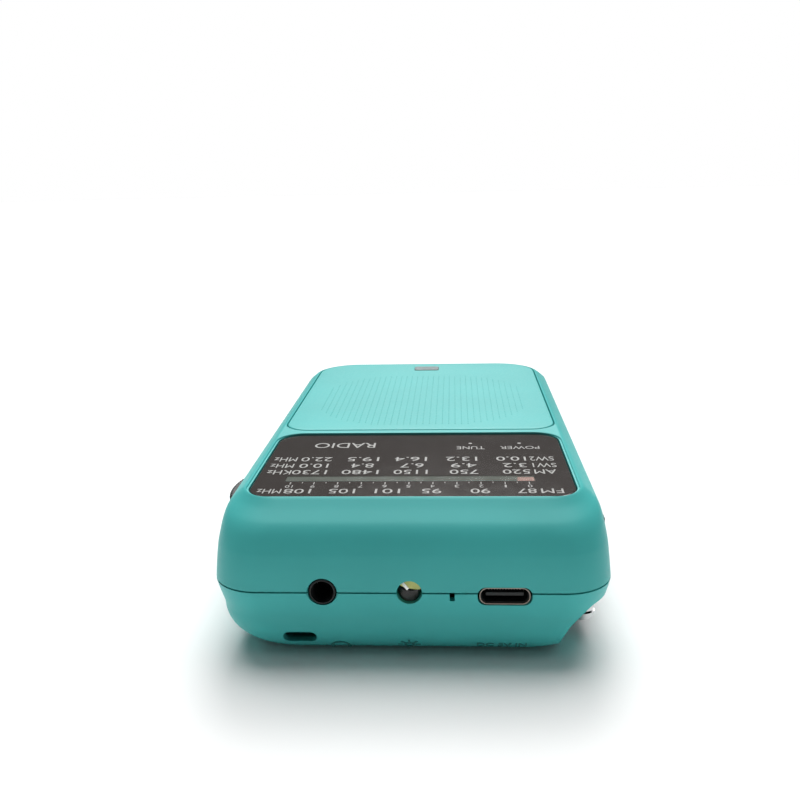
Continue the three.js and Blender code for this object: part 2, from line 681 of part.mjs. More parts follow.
function speakerMagnet() {
  return turned([[0, 11.2], [12.6, 11.2], [12.6, 14.9], [3.6, 14.9], [3.6, 17.2], [0, 17.2]],
    0, SPEAKER.along, 32);
}

// Battery and contacts

function battery() {
  const { halfX, low, high, bottom, top } = BATTERY;
  return plate(halfX, low, high, 2.5, bottom, top);
}

function batteryContacts() {
  const holder = block(-6, 6, 62.8, 64.1, 1.4, 6.9);
  const springs = [-4, 0, 4].map((x) => block(x - 0.8, x + 0.8, 64, 64.6, 3, 5.4));
  return join(holder, ...springs);
}

// Antenna

// The stub turns in the case wall: nut inside, disc outside, and a flat eye for the rivet.
function antennaStub() {
  const { x, along, z } = ANTENNA;
  const nut = crossPin(22.3, 24.6, along, z, 2.7, 6);
  const shaft = crossPin(24, 27.9, along, z, 1.35, 12);
  const disc = crossPin(27.1, 27.9, along, z, 2.5);
  const neck = block(27.7, x, along - 1.5, along + 1.5, z - 0.9, z + 0.9);
  const eye = pin(x, along, 2.3, z - 0.9, z + 0.9, 20);
  const rivetHole = pin(x, along, 1.05, z - 2, z + 2, 12);
  return cut(join(nut, shaft, disc, neck, eye), rivetHole);
}

// The fork on the first tube turns on the rivet.
function antennaFork() {
  const { x, along, z, start } = ANTENNA;
  const barrel = turnedAlong([[0, start - 0.6], [2.4, start - 0.6], [2.4, start + 5], [0, start + 5]],
    x, z, 20);
  const cheeks = [-2.4, 1.2].map((side) => {
    const disc = pin(x, along, 2.4, z + side, z + side + 1.2, 20);
    return join(disc, block(x - 2.1, x + 2.1, along, start, z + side, z + side + 1.2));
  });
  const eyeRoom = pin(x, along, 2.9, z - 1.2, z + 1.2, 20);
  const rivetHole = pin(x, along, 1.05, z - 4, z + 4, 12);
  const body = cut(join(barrel, ...cheeks), eyeRoom, rivetHole);
  const round = turnedAlong([[0, along - 6], [2.7, along - 6], [2.7, start + 8], [0, start + 8]], x, z, 20);
  return body.intersect(round);
}

function antennaRivet() {
  const { x, along, z } = ANTENNA;
  return pin(x, along, 0.8, z - 2.3, z + 2.3, 12);
}

// One hollow section; the first is plugged by the fork.
function antennaTube(number) {
  const radius = TUBE_RADII[number];
  const low = number === 0 ? ANTENNA.start + 5.3 : ANTENNA.start + 7 + number;
  const high = ANTENNA.end + number * TUBE_STEP;
  const inner = radius - TUBE_WALL;
  return turnedAlong([[inner, low], [radius, low], [radius, high], [inner, high], [inner, low]],
    ANTENNA.x, ANTENNA.z);
}

function antennaTip() {
  const low = ANTENNA.start + 12;
  const capLow = ANTENNA.end + TUBE_RADII.length * TUBE_STEP;
  return turnedAlong([[0, low], [ROD_RADIUS, low], [ROD_RADIUS, capLow], [2.3, capLow],
    [2.3, capLow + 3.6], [1.7, capLow + 4.6], [0, capLow + 4.8]], ANTENNA.x, ANTENNA.z);
}

// Assembly

const radio = new THREE.Group();
radio.position.set(CASE_X, 0, -FLOOR_Z);

function add(name, manifold, finish) {
  const [color, roughness, metalness] = FINISHES[finish];
  const material = new THREE.MeshStandardMaterial({ color, roughness, metalness });
  const mesh = new THREE.Mesh(geometryOf(manifold), material);
  mesh.name = name;
  radio.add(mesh);
}

add('front_shell', frontShell(), 'case');
add('back_shell', backShell(), 'case');
add('battery_door', batteryDoor(), 'case');
add('speaker_grille', speakerGrille(), 'case');
add('grille_badge', grilleBadge(), 'grey');
add('dial_lens', dialLens(), 'lens');
add('dial_plate', dialPlate(), 'grey');
add('dial_pointer', dialPointer(), 'red');
add('dial_cord', dialCord(), 'white');
add('cord_post_left', cordPost(POST.left), 'steel');
add('cord_post_right', cordPost(POST.right), 'steel');
add('tuning_wheel', tuningWheel(), 'black');
add('tuning_screw', headedScrew(TUNING.x, TUNING.along, 2.6, 20.8, 22.2, 1, 15.6, 21), 'steel');
add('tuning_capacitor', tuningCapacitor(), 'white');
add('volume_wheel', volumeWheel(), 'black');
add('volume_screw', headedScrew(VOLUME.x, VOLUME.along, 2, 14.9, 15.8, 0.8, 12.1, 15), 'steel');
add('volume_control', volumeControl(), 'steel');
add('band_switch', switchBody(BAND), 'steel');
add('band_knob', switchKnob(BAND), 'black');
add('light_switch', switchBody(LIGHT), 'steel');
add('light_knob', switchKnob(LIGHT), 'black');
add('headphone_jack', headphoneJack(), 'black');
add('usb_socket', usbSocket(), 'steel');
add('usb_tongue', usbTongue(), 'black');
add('flashlight_led', flashlightLed(), 'clear');
add('charge_led', block(CHARGE_X - 0.8, CHARGE_X + 0.8, 4.2, 5, ON_BOARD, 12.6), 'clear');
DIAL_LEDS.forEach(([name, x]) => add(name, dialLed(x), 'clear'));
add('circuit_board', circuitBoard(), 'board');
add('radio_chip', radioChip(), 'black');
add('filter_can_1', filterCan(5), 'steel');
add('filter_can_2', filterCan(14), 'steel');
add('smoothing_capacitor', smoothingCapacitor(), 'black');
add('ferrite_rod', ferriteRod(), 'ferrite');
add('antenna_coil', antennaCoil(), 'copper');
add('ferrite_clip_1', ferriteClip(-24), 'white');
add('ferrite_clip_2', ferriteClip(22), 'white');
add('speaker_basket', speakerBasket(), 'steel');
add('speaker_cone', speakerCone(), 'paper');
add('speaker_magnet', speakerMagnet(), 'ferrite');
add('battery', battery(), 'battery');
add('battery_contacts', batteryContacts(), 'black');
SCREWS.forEach(([x, along], k) => {
  add(`case_screw_${k + 1}`, headedScrew(x, along, SCREW_HEAD.radius, SCREW_HEAD.low, SCREW_HEAD.high, 1, 1, 18),
    'steel');
});
add('antenna_stub', antennaStub(), 'chrome');
add('antenna_fork', antennaFork(), 'chrome');
add('antenna_rivet', antennaRivet(), 'steel');
TUBE_RADII.forEach((radius, k) => add(`antenna_tube_${k + 1}`, antennaTube(k), 'chrome'));
add('antenna_tip', antennaTip(), 'chrome');

const group = new THREE.Group();
group.add(radio);

export default group;
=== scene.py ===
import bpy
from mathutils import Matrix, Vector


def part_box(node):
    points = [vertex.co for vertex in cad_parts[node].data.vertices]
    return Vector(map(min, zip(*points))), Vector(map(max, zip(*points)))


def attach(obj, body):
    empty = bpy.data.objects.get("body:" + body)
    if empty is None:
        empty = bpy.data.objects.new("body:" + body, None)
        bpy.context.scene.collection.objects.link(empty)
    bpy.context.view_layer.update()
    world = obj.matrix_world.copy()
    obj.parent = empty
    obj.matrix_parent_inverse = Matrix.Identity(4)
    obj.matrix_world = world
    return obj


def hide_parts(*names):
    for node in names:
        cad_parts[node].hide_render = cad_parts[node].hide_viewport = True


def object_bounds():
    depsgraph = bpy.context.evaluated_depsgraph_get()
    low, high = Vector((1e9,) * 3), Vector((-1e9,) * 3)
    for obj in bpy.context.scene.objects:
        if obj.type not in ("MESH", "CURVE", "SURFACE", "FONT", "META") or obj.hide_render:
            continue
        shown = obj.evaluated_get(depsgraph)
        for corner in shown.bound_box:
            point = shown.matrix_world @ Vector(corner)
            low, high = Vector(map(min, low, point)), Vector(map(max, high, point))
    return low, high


bl_info = {
    "name": "Pocket Emergency Radio",
    "version": (1, 0, 0),
    "blender": (4, 5, 0),
    "location": "View3D > Sidebar > Radio",
    "description": "Builds the detailed pieces of a pocket emergency radio around its packed frame",
    "category": "Object",
}

import math
import bpy
import bmesh
from bpy.props import FloatProperty, FloatVectorProperty, PointerProperty
from mathutils import Matrix, Vector

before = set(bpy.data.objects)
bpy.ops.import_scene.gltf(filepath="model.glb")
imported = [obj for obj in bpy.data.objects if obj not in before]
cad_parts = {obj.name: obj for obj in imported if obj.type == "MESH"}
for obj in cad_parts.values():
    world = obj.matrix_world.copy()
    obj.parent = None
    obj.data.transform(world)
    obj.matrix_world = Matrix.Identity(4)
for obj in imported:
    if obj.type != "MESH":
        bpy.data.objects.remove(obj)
CAD_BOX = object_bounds()

MM = 0.001
SHELL_LOW, SHELL_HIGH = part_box("front_shell")
CASE_X = (SHELL_LOW.x + SHELL_HIGH.x) / 2
END_Y = SHELL_LOW.y
FLOOR_Z = -0.9
DATUM_Z = CAD_BOX[0].z - FLOOR_Z * MM
WIDTH = (SHELL_HIGH.x - SHELL_LOW.x) / MM
LENGTH = (SHELL_HIGH.y - SHELL_LOW.y) / MM
HEIGHT = (SHELL_HIGH.z - DATUM_Z) / MM

# Lengths below are in millimetres: x across the radio from its middle, along from the socket end,
# and z up from the inside of the back. Half is half a width; low and high are the ends along.
TO_WORLD = Matrix.Translation((CASE_X, END_Y, DATUM_Z)) @ Matrix.Scale(MM, 4)

SEAM_Z = 13.3
SEAM_GAP = 0.3
WALL = 1.8
CORNER_STEPS = 14
LENS = {"half": 30.6, "low": 10.1, "high": 50.1, "radius": 5, "seat": 25.7, "bottom": 25.9,
        "top": 27.4}
SLOT = {"left": -24.7, "right": 23.4, "low": 18.9, "high": 21.8}
GRILLE = {"half": 31, "low": 52.6, "high": 123, "radius": 5.8, "far_radius": 9.5, "seat": 26.1,
          "bottom": 26.3, "top": 27.9}
BADGE = {"half": 3.5, "low": 114.6, "high": 119.2}
SPEAKER_ALONG = 91
FIELD_ALONG = 82
FIELD_REACH = 26
TUNING = {"x": -19.2, "along": 32.5, "radius": 19.4, "bottom": 18.2, "top": 21.3}
DRUM_TOP = 22.6
DRUM_RADIUS = 13.7
DRIVE_CLEAR = 0.5
VOLUME = {"x": -27.1, "along": 78, "radius": 11, "bottom": 13.3, "top": 16}
POINTER = {"x": 21.7, "half": 1.65, "low": 16.6, "high": 22.9, "bottom": 26, "top": 26.6}
CORD_ALONG = 17
BAND = {"along": 75, "travel": 7.5, "half": 3.2}
LIGHT = {"along": 26.5, "travel": 3, "half": 2.6}
KNOB_Z = 16.4
KNOB_PROUD = 1.4
JACK_X = -15.4
USB = {"x": 16.7, "z": 12.65, "width": 8.94, "height": 3.16}
CHARGE_X = 7.5
DIAL_LEDS = {"power_led": 22, "tune_led": 11.5}
DIAL_LED_ALONG = 43.2
SCREWS = [(-26, 10), (8.6, 11.5), (-26, 117.5), (23.3, 119.5)]
DOOR = {"half": 18.9, "low": 60, "thick": 1.4, "tongue": 0.9}
BATTERY_WALLS = (-18.9, 18.9, 61.4, 118.8)
BATTERY_ROOM = (-17.5, 17.5, 62.6, 117.6)
# Where the signs lie on the rounding of the back, and how far they are tipped there.
SIGN_PLACE = (0, 3.61, 1.5)
SIGN_TILT = 133.7
STRAP = {"x": -20.1, "z": 3.5, "width": 6.2, "height": 2.6}
ANTENNA = {"x": 31.9, "along": 13.2, "z": 5.1, "start": 17.4, "end": 107.2}
TUBE_RADII = [2.6, 2.15, 1.7, 1.25]
TUBE_WALL = 0.25
TUBE_STEP = 1.5
ROD_RADIUS = 0.8
# The antenna's channel and the wall round it, each as an outline of x and z.
CHANNEL = [(26.5, -2), (26.9, 3.2), (28.2, 6.2), (30, 7.9), (32.4, 10), (34.2, 10.3), (45, 10.6),
           (45, -2)]
CHANNEL_WALL = [(24.8, -0.2), (25.1, 3.8), (26.8, 7.4), (28.9, 9.2), (31.4, 11.6), (34, 12.5),
                (45, 13.1), (45, -0.2)]

# Where the camera stands, in metres, and its yaw, pitch and roll in degrees.
CAMERA_PLACE = (0.008706, -0.20832, 0.086144)
CAMERA_TURN = (3.5722, 14.3025, -1.3136)


# --- Materials ---------------------------------------------------------------------------------

def new_material(name):
    material = bpy.data.materials.new(name)
    material.use_nodes = True
    nodes = material.node_tree.nodes
    return material, nodes, material.node_tree.links, nodes["Principled BSDF"]


def noise(nodes, links, scale, detail=3.0, stretch=(1, 1, 1)):
    """Noise in the object's own coordinates, with scale in features per metre."""
    where = nodes.new("ShaderNodeTexCoord")
    mapping = nodes.new("ShaderNodeMapping")
    mapping.inputs["Scale"].default_value = stretch
    texture = nodes.new("ShaderNodeTexNoise")
    texture.inputs["Scale"].default_value = scale
    texture.inputs["Detail"].default_value = detail
    links.new(where.outputs["Object"], mapping.inputs["Vector"])
    links.new(mapping.outputs["Vector"], texture.inputs["Vector"])
    return texture.outputs["Fac"]


def ramp(nodes, links, factor, low, high, socket, at=(0.35, 0.65)):
    """Turns a noise into a colour or a value between low and high."""
    node = nodes.new("ShaderNodeValToRGB")
    first, last = node.color_ramp.elements
    first.position, last.position = at
    first.color = low if len(low) == 4 else (*low, 1)
    last.color = high if len(high) == 4 else (*high, 1)
    links.new(factor, node.inputs["Fac"])
    links.new(node.outputs["Color"], socket)


def bump(nodes, links, shader, height, strength, distance):
    node = nodes.new("ShaderNodeBump")
    node.inputs["Strength"].default_value = strength
    node.inputs["Distance"].default_value = distance
    links.new(height, node.inputs["Height"])
    links.new(node.outputs["Normal"], shader.inputs["Normal"])


def shade(colour, factor):
    return tuple(min(1, channel * factor) for channel in colour)


def finish_material(name, colour, rough, metallic=0.0, grain=2500, relief=0.00002, strength=0.25,
                    spread=0.08, stretch=(1, 1, 1), cloud=45, specular=0.5, glow=0.0):
    """A plain finish with its own cloudiness, grain and wear in roughness; glow is a painted glow of
    its own colour.
    """
    material, nodes, links, shader = new_material(name)
    shader.inputs["Metallic"].default_value = metallic
    shader.inputs["Specular IOR Level"].default_value = specular
    shader.inputs["Emission Color"].default_value = (*colour, 1)
    shader.inputs["Emission Strength"].default_value = glow
    clouds = noise(nodes, links, cloud, 4)
    ramp(nodes, links, clouds, shade(colour, 1 - spread), shade(colour, 1 + spread),
         shader.inputs["Base Color"])
    fine = noise(nodes, links, grain, 3, stretch)
    ramp(nodes, links, fine, (rough[0],) * 3, (rough[1],) * 3, shader.inputs["Roughness"])
    bump(nodes, links, shader, fine, strength, relief)
    return material


def clear_material(name, colour, rough, transmission=1.0):
    """Clear or tinted resin, slightly hazy."""
    material, nodes, links, shader = new_material(name)
    shader.inputs["Transmission Weight"].default_value = transmission
    shader.inputs["IOR"].default_value = 1.5
    haze = noise(nodes, links, 260, 2)
    ramp(nodes, links, haze, shade(colour, 0.96), shade(colour, 1.0), shader.inputs["Base Color"])
    ramp(nodes, links, haze, (rough,) * 3, (rough * 1.6,) * 3, shader.inputs["Roughness"])
    bump(nodes, links, shader, haze, 0.03, 0.00001)
    return material


def pane_material():
    """A thin clear sheet that lets the scale behind it show."""
    material, nodes, links, shader = new_material("dial_pane")
    shader.inputs["Alpha"].default_value = 0.35
    smudge = noise(nodes, links, 260, 2)
    ramp(nodes, links, smudge, (0.28, 0.31, 0.27), (0.32, 0.35, 0.31), shader.inputs["Base Color"])
    ramp(nodes, links, smudge, (0.1,) * 3, (0.16,) * 3, shader.inputs["Roughness"])
    return material


def board_material():
    """Green solder mask over a grid of copper tracks."""
    material, nodes, links, shader = new_material("solder_mask")
    where = nodes.new("ShaderNodeTexCoord")
    tracks = nodes.new("ShaderNodeTexBrick")
    tracks.inputs["Scale"].default_value = 420
    tracks.inputs["Mortar Size"].default_value = 0.06
    tracks.inputs["Color1"].default_value = (0.012, 0.12, 0.035, 1)
    tracks.inputs["Color2"].default_value = (0.016, 0.15, 0.045, 1)
    tracks.inputs["Mortar"].default_value = (0.05, 0.3, 0.1, 1)
    links.new(where.outputs["Object"], tracks.inputs["Vector"])
    links.new(tracks.outputs["Color"], shader.inputs["Base Color"])
    fine = noise(nodes, links, 900)
    ramp(nodes, links, fine, (0.25,) * 3, (0.45,) * 3, shader.inputs["Roughness"])
    bump(nodes, links, shader, tracks.outputs["Fac"], 0.3, 0.00003)
    return material


def winding_material():
    """Enamelled wire wound round the spool, one band per turn."""
    material, nodes, links, shader = new_material("enamelled_wire")
    where = nodes.new("ShaderNodeTexCoord")
    turns = nodes.new("ShaderNodeTexWave")
    turns.bands_direction = "X"
    turns.inputs["Scale"].default_value = 380
    links.new(where.outputs["Object"], turns.inputs["Vector"])
    ramp(nodes, links, turns.outputs["Fac"], (0.18, 0.05, 0.015), (0.62, 0.26, 0.09),
         shader.inputs["Base Color"], (0.1, 0.8))
    shader.inputs["Metallic"].default_value = 0.6
    shader.inputs["Roughness"].default_value = 0.35
    bump(nodes, links, shader, turns.outputs["Fac"], 0.8, 0.0001)
    return material


def cord_material():
    """Fine braid of the dial cord."""
    material, nodes, links, shader = new_material("braided_cord")
    where = nodes.new("ShaderNodeTexCoord")
    braid = nodes.new("ShaderNodeTexWave")
    braid.bands_direction = "DIAGONAL"
    braid.inputs["Scale"].default_value = 900
    links.new(where.outputs["Object"], braid.inputs["Vector"])
    ramp(nodes, links, braid.outputs["Fac"], (0.45, 0.43, 0.38), (0.78, 0.76, 0.7),
         shader.inputs["Base Color"], (0.2, 0.8))
    shader.inputs["Roughness"].default_value = 0.85
    bump(nodes, links, shader, braid.outputs["Fac"], 0.6, 0.00005)
    return material


MATERIALS = {}


def make_materials(look):
    """Makes every finish of the radio, by the name that its pieces ask for."""
    case = tuple(look.case_colour)
    MATERIALS.update({
        "case": finish_material("case_plastic", case, (0.36, 0.46), grain=1800, spread=0.03,
                                strength=0.1, relief=0.00001, specular=0.2),
        # The signs are the case colour darkened: painted shade in their sunk strokes.
        "case_sign_shade": finish_material("case_marks_painted_shade", shade(case, 0.45), (0.5, 0.65), grain=1800),
        "badge": finish_material("badge", (0.085, 0.15, 0.155), (0.4, 0.55), grain=1500, spread=0.12),
        "panel": finish_material("dial_panel", tuple(look.panel_colour), (0.1, 0.12), grain=300,
                                 spread=0.03, strength=0.0, relief=0.000001),
        "print": finish_material("dial_print", tuple(look.print_colour), (0.4, 0.55), grain=3000),
        "pane": pane_material(),
        "backing": finish_material("dial_backing", (0.55, 0.6, 0.52), (0.5, 0.62), grain=1600),
        "pointer": finish_material("pointer_red", tuple(look.pointer_colour), (0.35, 0.5)),
        "cord": cord_material(),
        "steel": finish_material("plated_steel", (0.52, 0.53, 0.54), (0.24, 0.42), 1.0, 900,
                                 stretch=(1, 8, 1)),
        "bright_rim": finish_material("socket_rim", (0.34, 0.29, 0.25), (0.3, 0.45), 1.0, 900),
        "tongue": finish_material("socket_tongue", (0.022, 0.025, 0.025), (0.5, 0.62), grain=2600,
                                  spread=0.2),
        "mirror": finish_material("lamp_mirror", (0.8, 0.81, 0.8), (0.04, 0.1), 1.0, 700,
                                  strength=0.0),
        "black": finish_material("black_plastic", (0.012, 0.013, 0.014), (0.45, 0.62), grain=2600,
                                 spread=0.25),
        "wheel": finish_material("wheel_plastic", (0.03, 0.034, 0.034), (0.5, 0.68), grain=2200,
                                 spread=0.2),
        "white": finish_material("white_plastic", (0.72, 0.71, 0.66), (0.42, 0.56), grain=1400),
        "lamp": clear_material("clear_resin", (0.97, 0.98, 0.93), 0.03),
        "haze": clear_material("tinted_resin", (0.75, 0.45, 0.35), 0.12, transmission=0.8),
        # The phosphor gets a weak painted glow, though the lamp is not lit.
        "phosphor": finish_material("lamp_phosphor_painted_glow", (0.9, 0.95, 0.32), (0.45, 0.6), grain=4000,
                                    spread=0.12, glow=0.12),
        "board": board_material(),
        "ferrite": finish_material("ferrite", (0.035, 0.034, 0.036), (0.55, 0.75), 0.1, 1500,
                                   strength=0.6, relief=0.00008, spread=0.25),
        "copper": winding_material(),
        "paper": finish_material("pressed_paper", (0.028, 0.026, 0.024), (0.8, 0.95), grain=1200,
                                 strength=0.9, relief=0.00012, spread=0.3),
        "battery": finish_material("battery_wrap", (0.03, 0.1, 0.34), (0.2, 0.36), grain=300,
                                   strength=0.2, relief=0.00005, spread=0.12),
        "chrome": finish_material("chrome", (0.6, 0.6, 0.605), (0.05, 0.14), 1.0, 600,
                                  strength=0.05, relief=0.00001, spread=0.04, stretch=(1, 6, 1)),
    })


# --- Mesh building -----------------------------------------------------------------------------

def rounded_ring(half_x, low, high, radii, z, x=0.0, steps=CORNER_STEPS):
    """A rounded rectangle at height z, counter-clockwise; radii are (far, near) or one number."""
    far, near = radii if isinstance(radii, tuple) else (radii, radii)
    corners = [(half_x - far, high - far, far, 0), (far - half_x, high - far, far, 1),
               (near - half_x, low + near, near, 2), (half_x - near, low + near, near, 3)]
    ring = []
    for cx, cy, radius, start in corners:
        for step in range(steps + 1):
            angle = (start + step / steps) * math.pi / 2
            ring.append((x + cx + radius * math.cos(angle), cy + radius * math.sin(angle), z))
    return ring


def circle_ring(x, along, radius, z, sides):
    """A level circle of points."""
    return [(x + radius * math.cos(2 * math.pi * k / sides),
             along + radius * math.sin(2 * math.pi * k / sides), z) for k in range(sides)]


def outward(bm):
    """Turns every face to the outside."""
    bmesh.ops.recalc_face_normals(bm, faces=bm.faces[:])
    return bm


def wall_between(bm, lower, upper):
    """Faces between two equal rings of vertices."""
    count = len(lower)
    for k in range(count):
        n = (k + 1) % count
        bm.faces.new((lower[k], lower[n], upper[n], upper[k]))


def loft(rings):
    """A closed solid through equal rings, from the lowest up, with flat ends."""
    bm = bmesh.new()
    rows = [[bm.verts.new(point) for point in ring] for ring in rings]
    for lower, upper in zip(rows, rows[1:]):
        wall_between(bm, lower, upper)
    bm.faces.new(reversed(rows[0]))
    bm.faces.new(rows[-1])
    return bm


def prism(ring, z0, z1, chamfer=0.0):
    """A plate of one outline, with its top edge drawn in by a chamfer."""
    levels = [(z0, 0.0), (z1 - chamfer, 0.0), (z1, chamfer)] if chamfer else [(z0, 0.0), (z1, 0.0)]
    middle_x = sum(p[0] for p in ring) / len(ring)
    middle_y = sum(p[1] for p in ring) / len(ring)
    reach_x = max(abs(p[0] - middle_x) for p in ring)
    reach_y = max(abs(p[1] - middle_y) for p in ring)
    rings = []
    for z, inset in levels:
        sx, sy = 1 - inset / reach_x, 1 - inset / reach_y
        rings.append([(middle_x + (p[0] - middle_x) * sx, middle_y + (p[1] - middle_y) * sy, z)
                      for p in ring])
    return loft(rings)


def block(x0, x1, low, high, z0, z1):
    """A square-edged bar between two x, two along and two z values."""
    ring = [(x1, high, z0), (x0, high, z0), (x0, low, z0), (x1, low, z0)]
    return loft([ring, [(x, along, z1) for x, along, _ in ring]])


def soft_block(x0, x1, low, high, z0, z1, edge=0.25, segments=3):
    """A bar with rounded edges."""
    bm = block(x0, x1, low, high, z0, z1)
    bmesh.ops.bevel(bm, geom=bm.edges[:], offset=edge, segments=segments, affect="EDGES",
                    profile=0.5)
    return bm


def pin(x, along, radius, z0, z1, sides=48, chamfer=0.0):
    """An upright round pin, with its end edges chamfered if wanted."""
    levels = [(z0, radius), (z1, radius)]
    if chamfer:
        levels = [(z0, radius - chamfer), (z0 + chamfer, radius), (z1 - chamfer, radius),
                  (z1, radius - chamfer)]
    return loft([circle_ring(x, along, r, z, sides) for z, r in levels])


def turned(profile, sides=48):
    """A turned solid about its own Z, from a [radius, height] profile that starts and ends at 0."""
    rings = [circle_ring(0, 0, radius, height, sides) for radius, height in profile[1:-1]]
    bm = bmesh.new()
    rows = [[bm.verts.new(point) for point in ring] for ring in rings]
    low = bm.verts.new((0, 0, profile[0][1]))
    high = bm.verts.new((0, 0, profile[-1][1]))
    for k in range(sides):
        n = (k + 1) % sides
        bm.faces.new((low, rows[0][n], rows[0][k]))
        bm.faces.new((high, rows[-1][k], rows[-1][n]))
        for lower, upper in zip(rows, rows[1:]):
            bm.faces.new((lower[k], lower[n], upper[n], upper[k]))
    return outward(bm)


def turned_along(profile, x, z, sides=48):
    """A turned solid about a line along Y, from a [radius, along] profile."""
    bm = turned(profile, sides)
    bm.transform(Matrix.Translation((x, 0, z)) @ Matrix.Rotation(-math.pi / 2, 4, "X"))
    return outward(bm)


def turned_across(profile, along, z, sides=32):
    """A turned solid about a line along X, from a [radius, x] profile."""
    bm = turned(profile, sides)
    bm.transform(Matrix.Translation((0, along, z)) @ Matrix.Rotation(math.pi / 2, 4, "Y"))
    return outward(bm)


def sleeve_along(inner, outer, low, high, x, z, sides=40, edge=0.08):
    """An open tube about a line along Y, with softened rims."""
    profile = [(inner, low), (outer - edge, low), (outer, low + edge), (outer, high - edge),
               (outer - edge, high), (inner, high)]
    bm = bmesh.new()
    rows = []
    for radius, along in profile:
        rows.append([bm.verts.new((x + radius * math.sin(2 * math.pi * k / sides), along,
                                   z + radius * math.cos(2 * math.pi * k / sides)))
                     for k in range(sides)])
    for row, following in zip(rows, rows[1:] + rows[:1]):
        wall_between(bm, row, following)
    return outward(bm)


def section_along(outline, low, high):
    """A straight section along Y from its [x, z] outline."""
    bm = bmesh.new()
    near = [bm.verts.new((x, low, z)) for x, z in outline]
    far = [bm.verts.new((x, high, z)) for x, z in outline]
    bm.faces.new(near)
    bm.faces.new(reversed(far))
    wall_between(bm, far, near)
    return outward(bm)


def slotted_end(x, z, half_x, half_z, radius, low, high, flare=0.0, steps=8):
    """A rounded slot running along Y, flared at its mouth."""
    levels = [(low, flare), (low + flare, 0.0), (high, 0.0)] if flare else [(low, 0.0), (high, 0.0)]
    rings = []
    for along, extra in levels:
        ring = rounded_ring(half_x + extra, -half_z - extra, half_z + extra, radius + extra, 0,
                            steps=steps)
        rings.append([(x + px, along, z + pz) for px, pz, _ in ring])
    return outward(loft(rings))


def spline(points, position):
    """A smooth curve through rows of numbers, with position counted in rows."""
    last = len(points) - 1
    k = min(int(position), last - 1)
    t = position - k
    a, b, c, d = (points[max(0, min(last, k + i))] for i in (-1, 0, 1, 2))
    return [0.5 * (2 * q + (r - p) * t + (2 * p - 5 * q + 4 * r - s) * t * t
                   + (3 * q - p - 3 * r + s) * t ** 3) for p, q, r, s in zip(a, b, c, d)]


def case_ring(z, side, near, far, far_radius, near_radius):
    """One level of the case, drawn in from its full outline by three insets."""
    return rounded_ring(WIDTH / 2 - side, near, LENGTH - far, (far_radius, near_radius), z)


def even_level(z, inset, radius):
    """One level of the case with the same inset and radius all round."""
    return (z, inset, inset, inset, radius, radius)


def case_loft(rows, steps):
    """A solid through levels of the case, with so many steps between each two."""
    count = (len(rows) - 1) * steps
    return loft([case_ring(*spline(rows, k / steps)) for k in range(count + 1)])


def as_object(bm, name):
    mesh = bpy.data.meshes.new(name)
    bm.to_mesh(mesh)
    bm.free()
    thing = bpy.data.objects.new(name, mesh)
    bpy.context.scene.collection.objects.link(thing)
    return thing


def combine(body, others, operation):
    """Joins, cuts or intersects closed bmeshes, one after another."""
    work = as_object(body, "work")
    for k, other in enumerate(others):
        tool = as_object(other, f"tool{k}")
        change = work.modifiers.new("change", "BOOLEAN")
        change.object = tool
        change.operation = operation
        change.solver = "MANIFOLD"
        evaluated = work.evaluated_get(bpy.context.evaluated_depsgraph_get())
        result = bpy.data.meshes.new_from_object(evaluated)
        work.modifiers.remove(change)
        old = work.data
        work.data = result
        bpy.data.meshes.remove(old)
        tool_mesh = tool.data
        bpy.data.objects.remove(tool)
        bpy.data.meshes.remove(tool_mesh)
    bm = bmesh.new()
    bm.from_mesh(work.data)
    mesh = work.data
    bpy.data.objects.remove(work)
    bpy.data.meshes.remove(mesh)
    if not bm.faces:
        raise RuntimeError(f"{operation} left nothing")
    return bm


def cut(body, *others):
    return combine(body, others, "DIFFERENCE")


def join(body, *others):
    return combine(body, others, "UNION")


def gather(*bms):
    """Puts separate closed solids into one mesh."""
    whole = bmesh.new()
    for bm in bms:
        mesh = bpy.data.meshes.new("part")
        bm.to_mesh(mesh)
        bm.free()
        whole.from_mesh(mesh)
        bpy.data.meshes.remove(mesh)
    return whole


def piece(name, bm, body, slot, *finishes, replaces=(), smooth=35, weighted=True):
    """Names a finished mesh, gives it its finishes and hangs it on its body."""
    bm.transform(TO_WORLD)
    thing = as_object(outward(bm), name)
    for face in thing.data.polygons:
        face.use_smooth = True
    thing.data.set_sharp_from_angle(angle=math.radians(smooth))
    if weighted:
        normals = thing.modifiers.new("flat faces stay flat", "WEIGHTED_NORMAL")
        normals.keep_sharp = True
    for finish in finishes:
        thing.data.materials.append(MATERIALS[finish])
    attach(thing, body)
    if replaces:
        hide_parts(*replaces)


# --- Case --------------------------------------------------------------------------------------

# Levels of the front: z, the side, near and far insets, then the far and near corner radii.
FRONT_LEVELS = [
    (SEAM_Z + SEAM_GAP / 2, 0.0, 0.0, 0.0, 9.0, 9.0),
    (15, 0.12, 0.12, 0.1, 9.0, 9.0),
    (17.2, 0.3, 0.35, 0.2, 9.1, 9.1),
    (19.5, 0.5, 0.78, 0.33, 9.3, 9.3),
    (20.6, 0.65, 1.12, 0.42, 9.4, 9.4),
    (22.1, 0.88, 1.7, 0.54, 9.7, 9.7),
    (23.4, 1.1, 2.55, 0.67, 10.0, 10.0),
    (24.6, 1.4, 3.85, 0.8, 10.5, 10.3),
    (25.5, 1.9, 5.4, 0.98, 11.0, 10.1),
    (26.4, 2.8, 7.0, 1.3, 11.5, 9.4),
    (27.2, 3.75, 8.3, 1.75, 11.6, 8.2),
    (27.6, 4.3, 8.95, 2.15, 11.4, 7.4),
    (HEIGHT, 4.9, 9.4, 2.9, 11.0, 6.6),
]


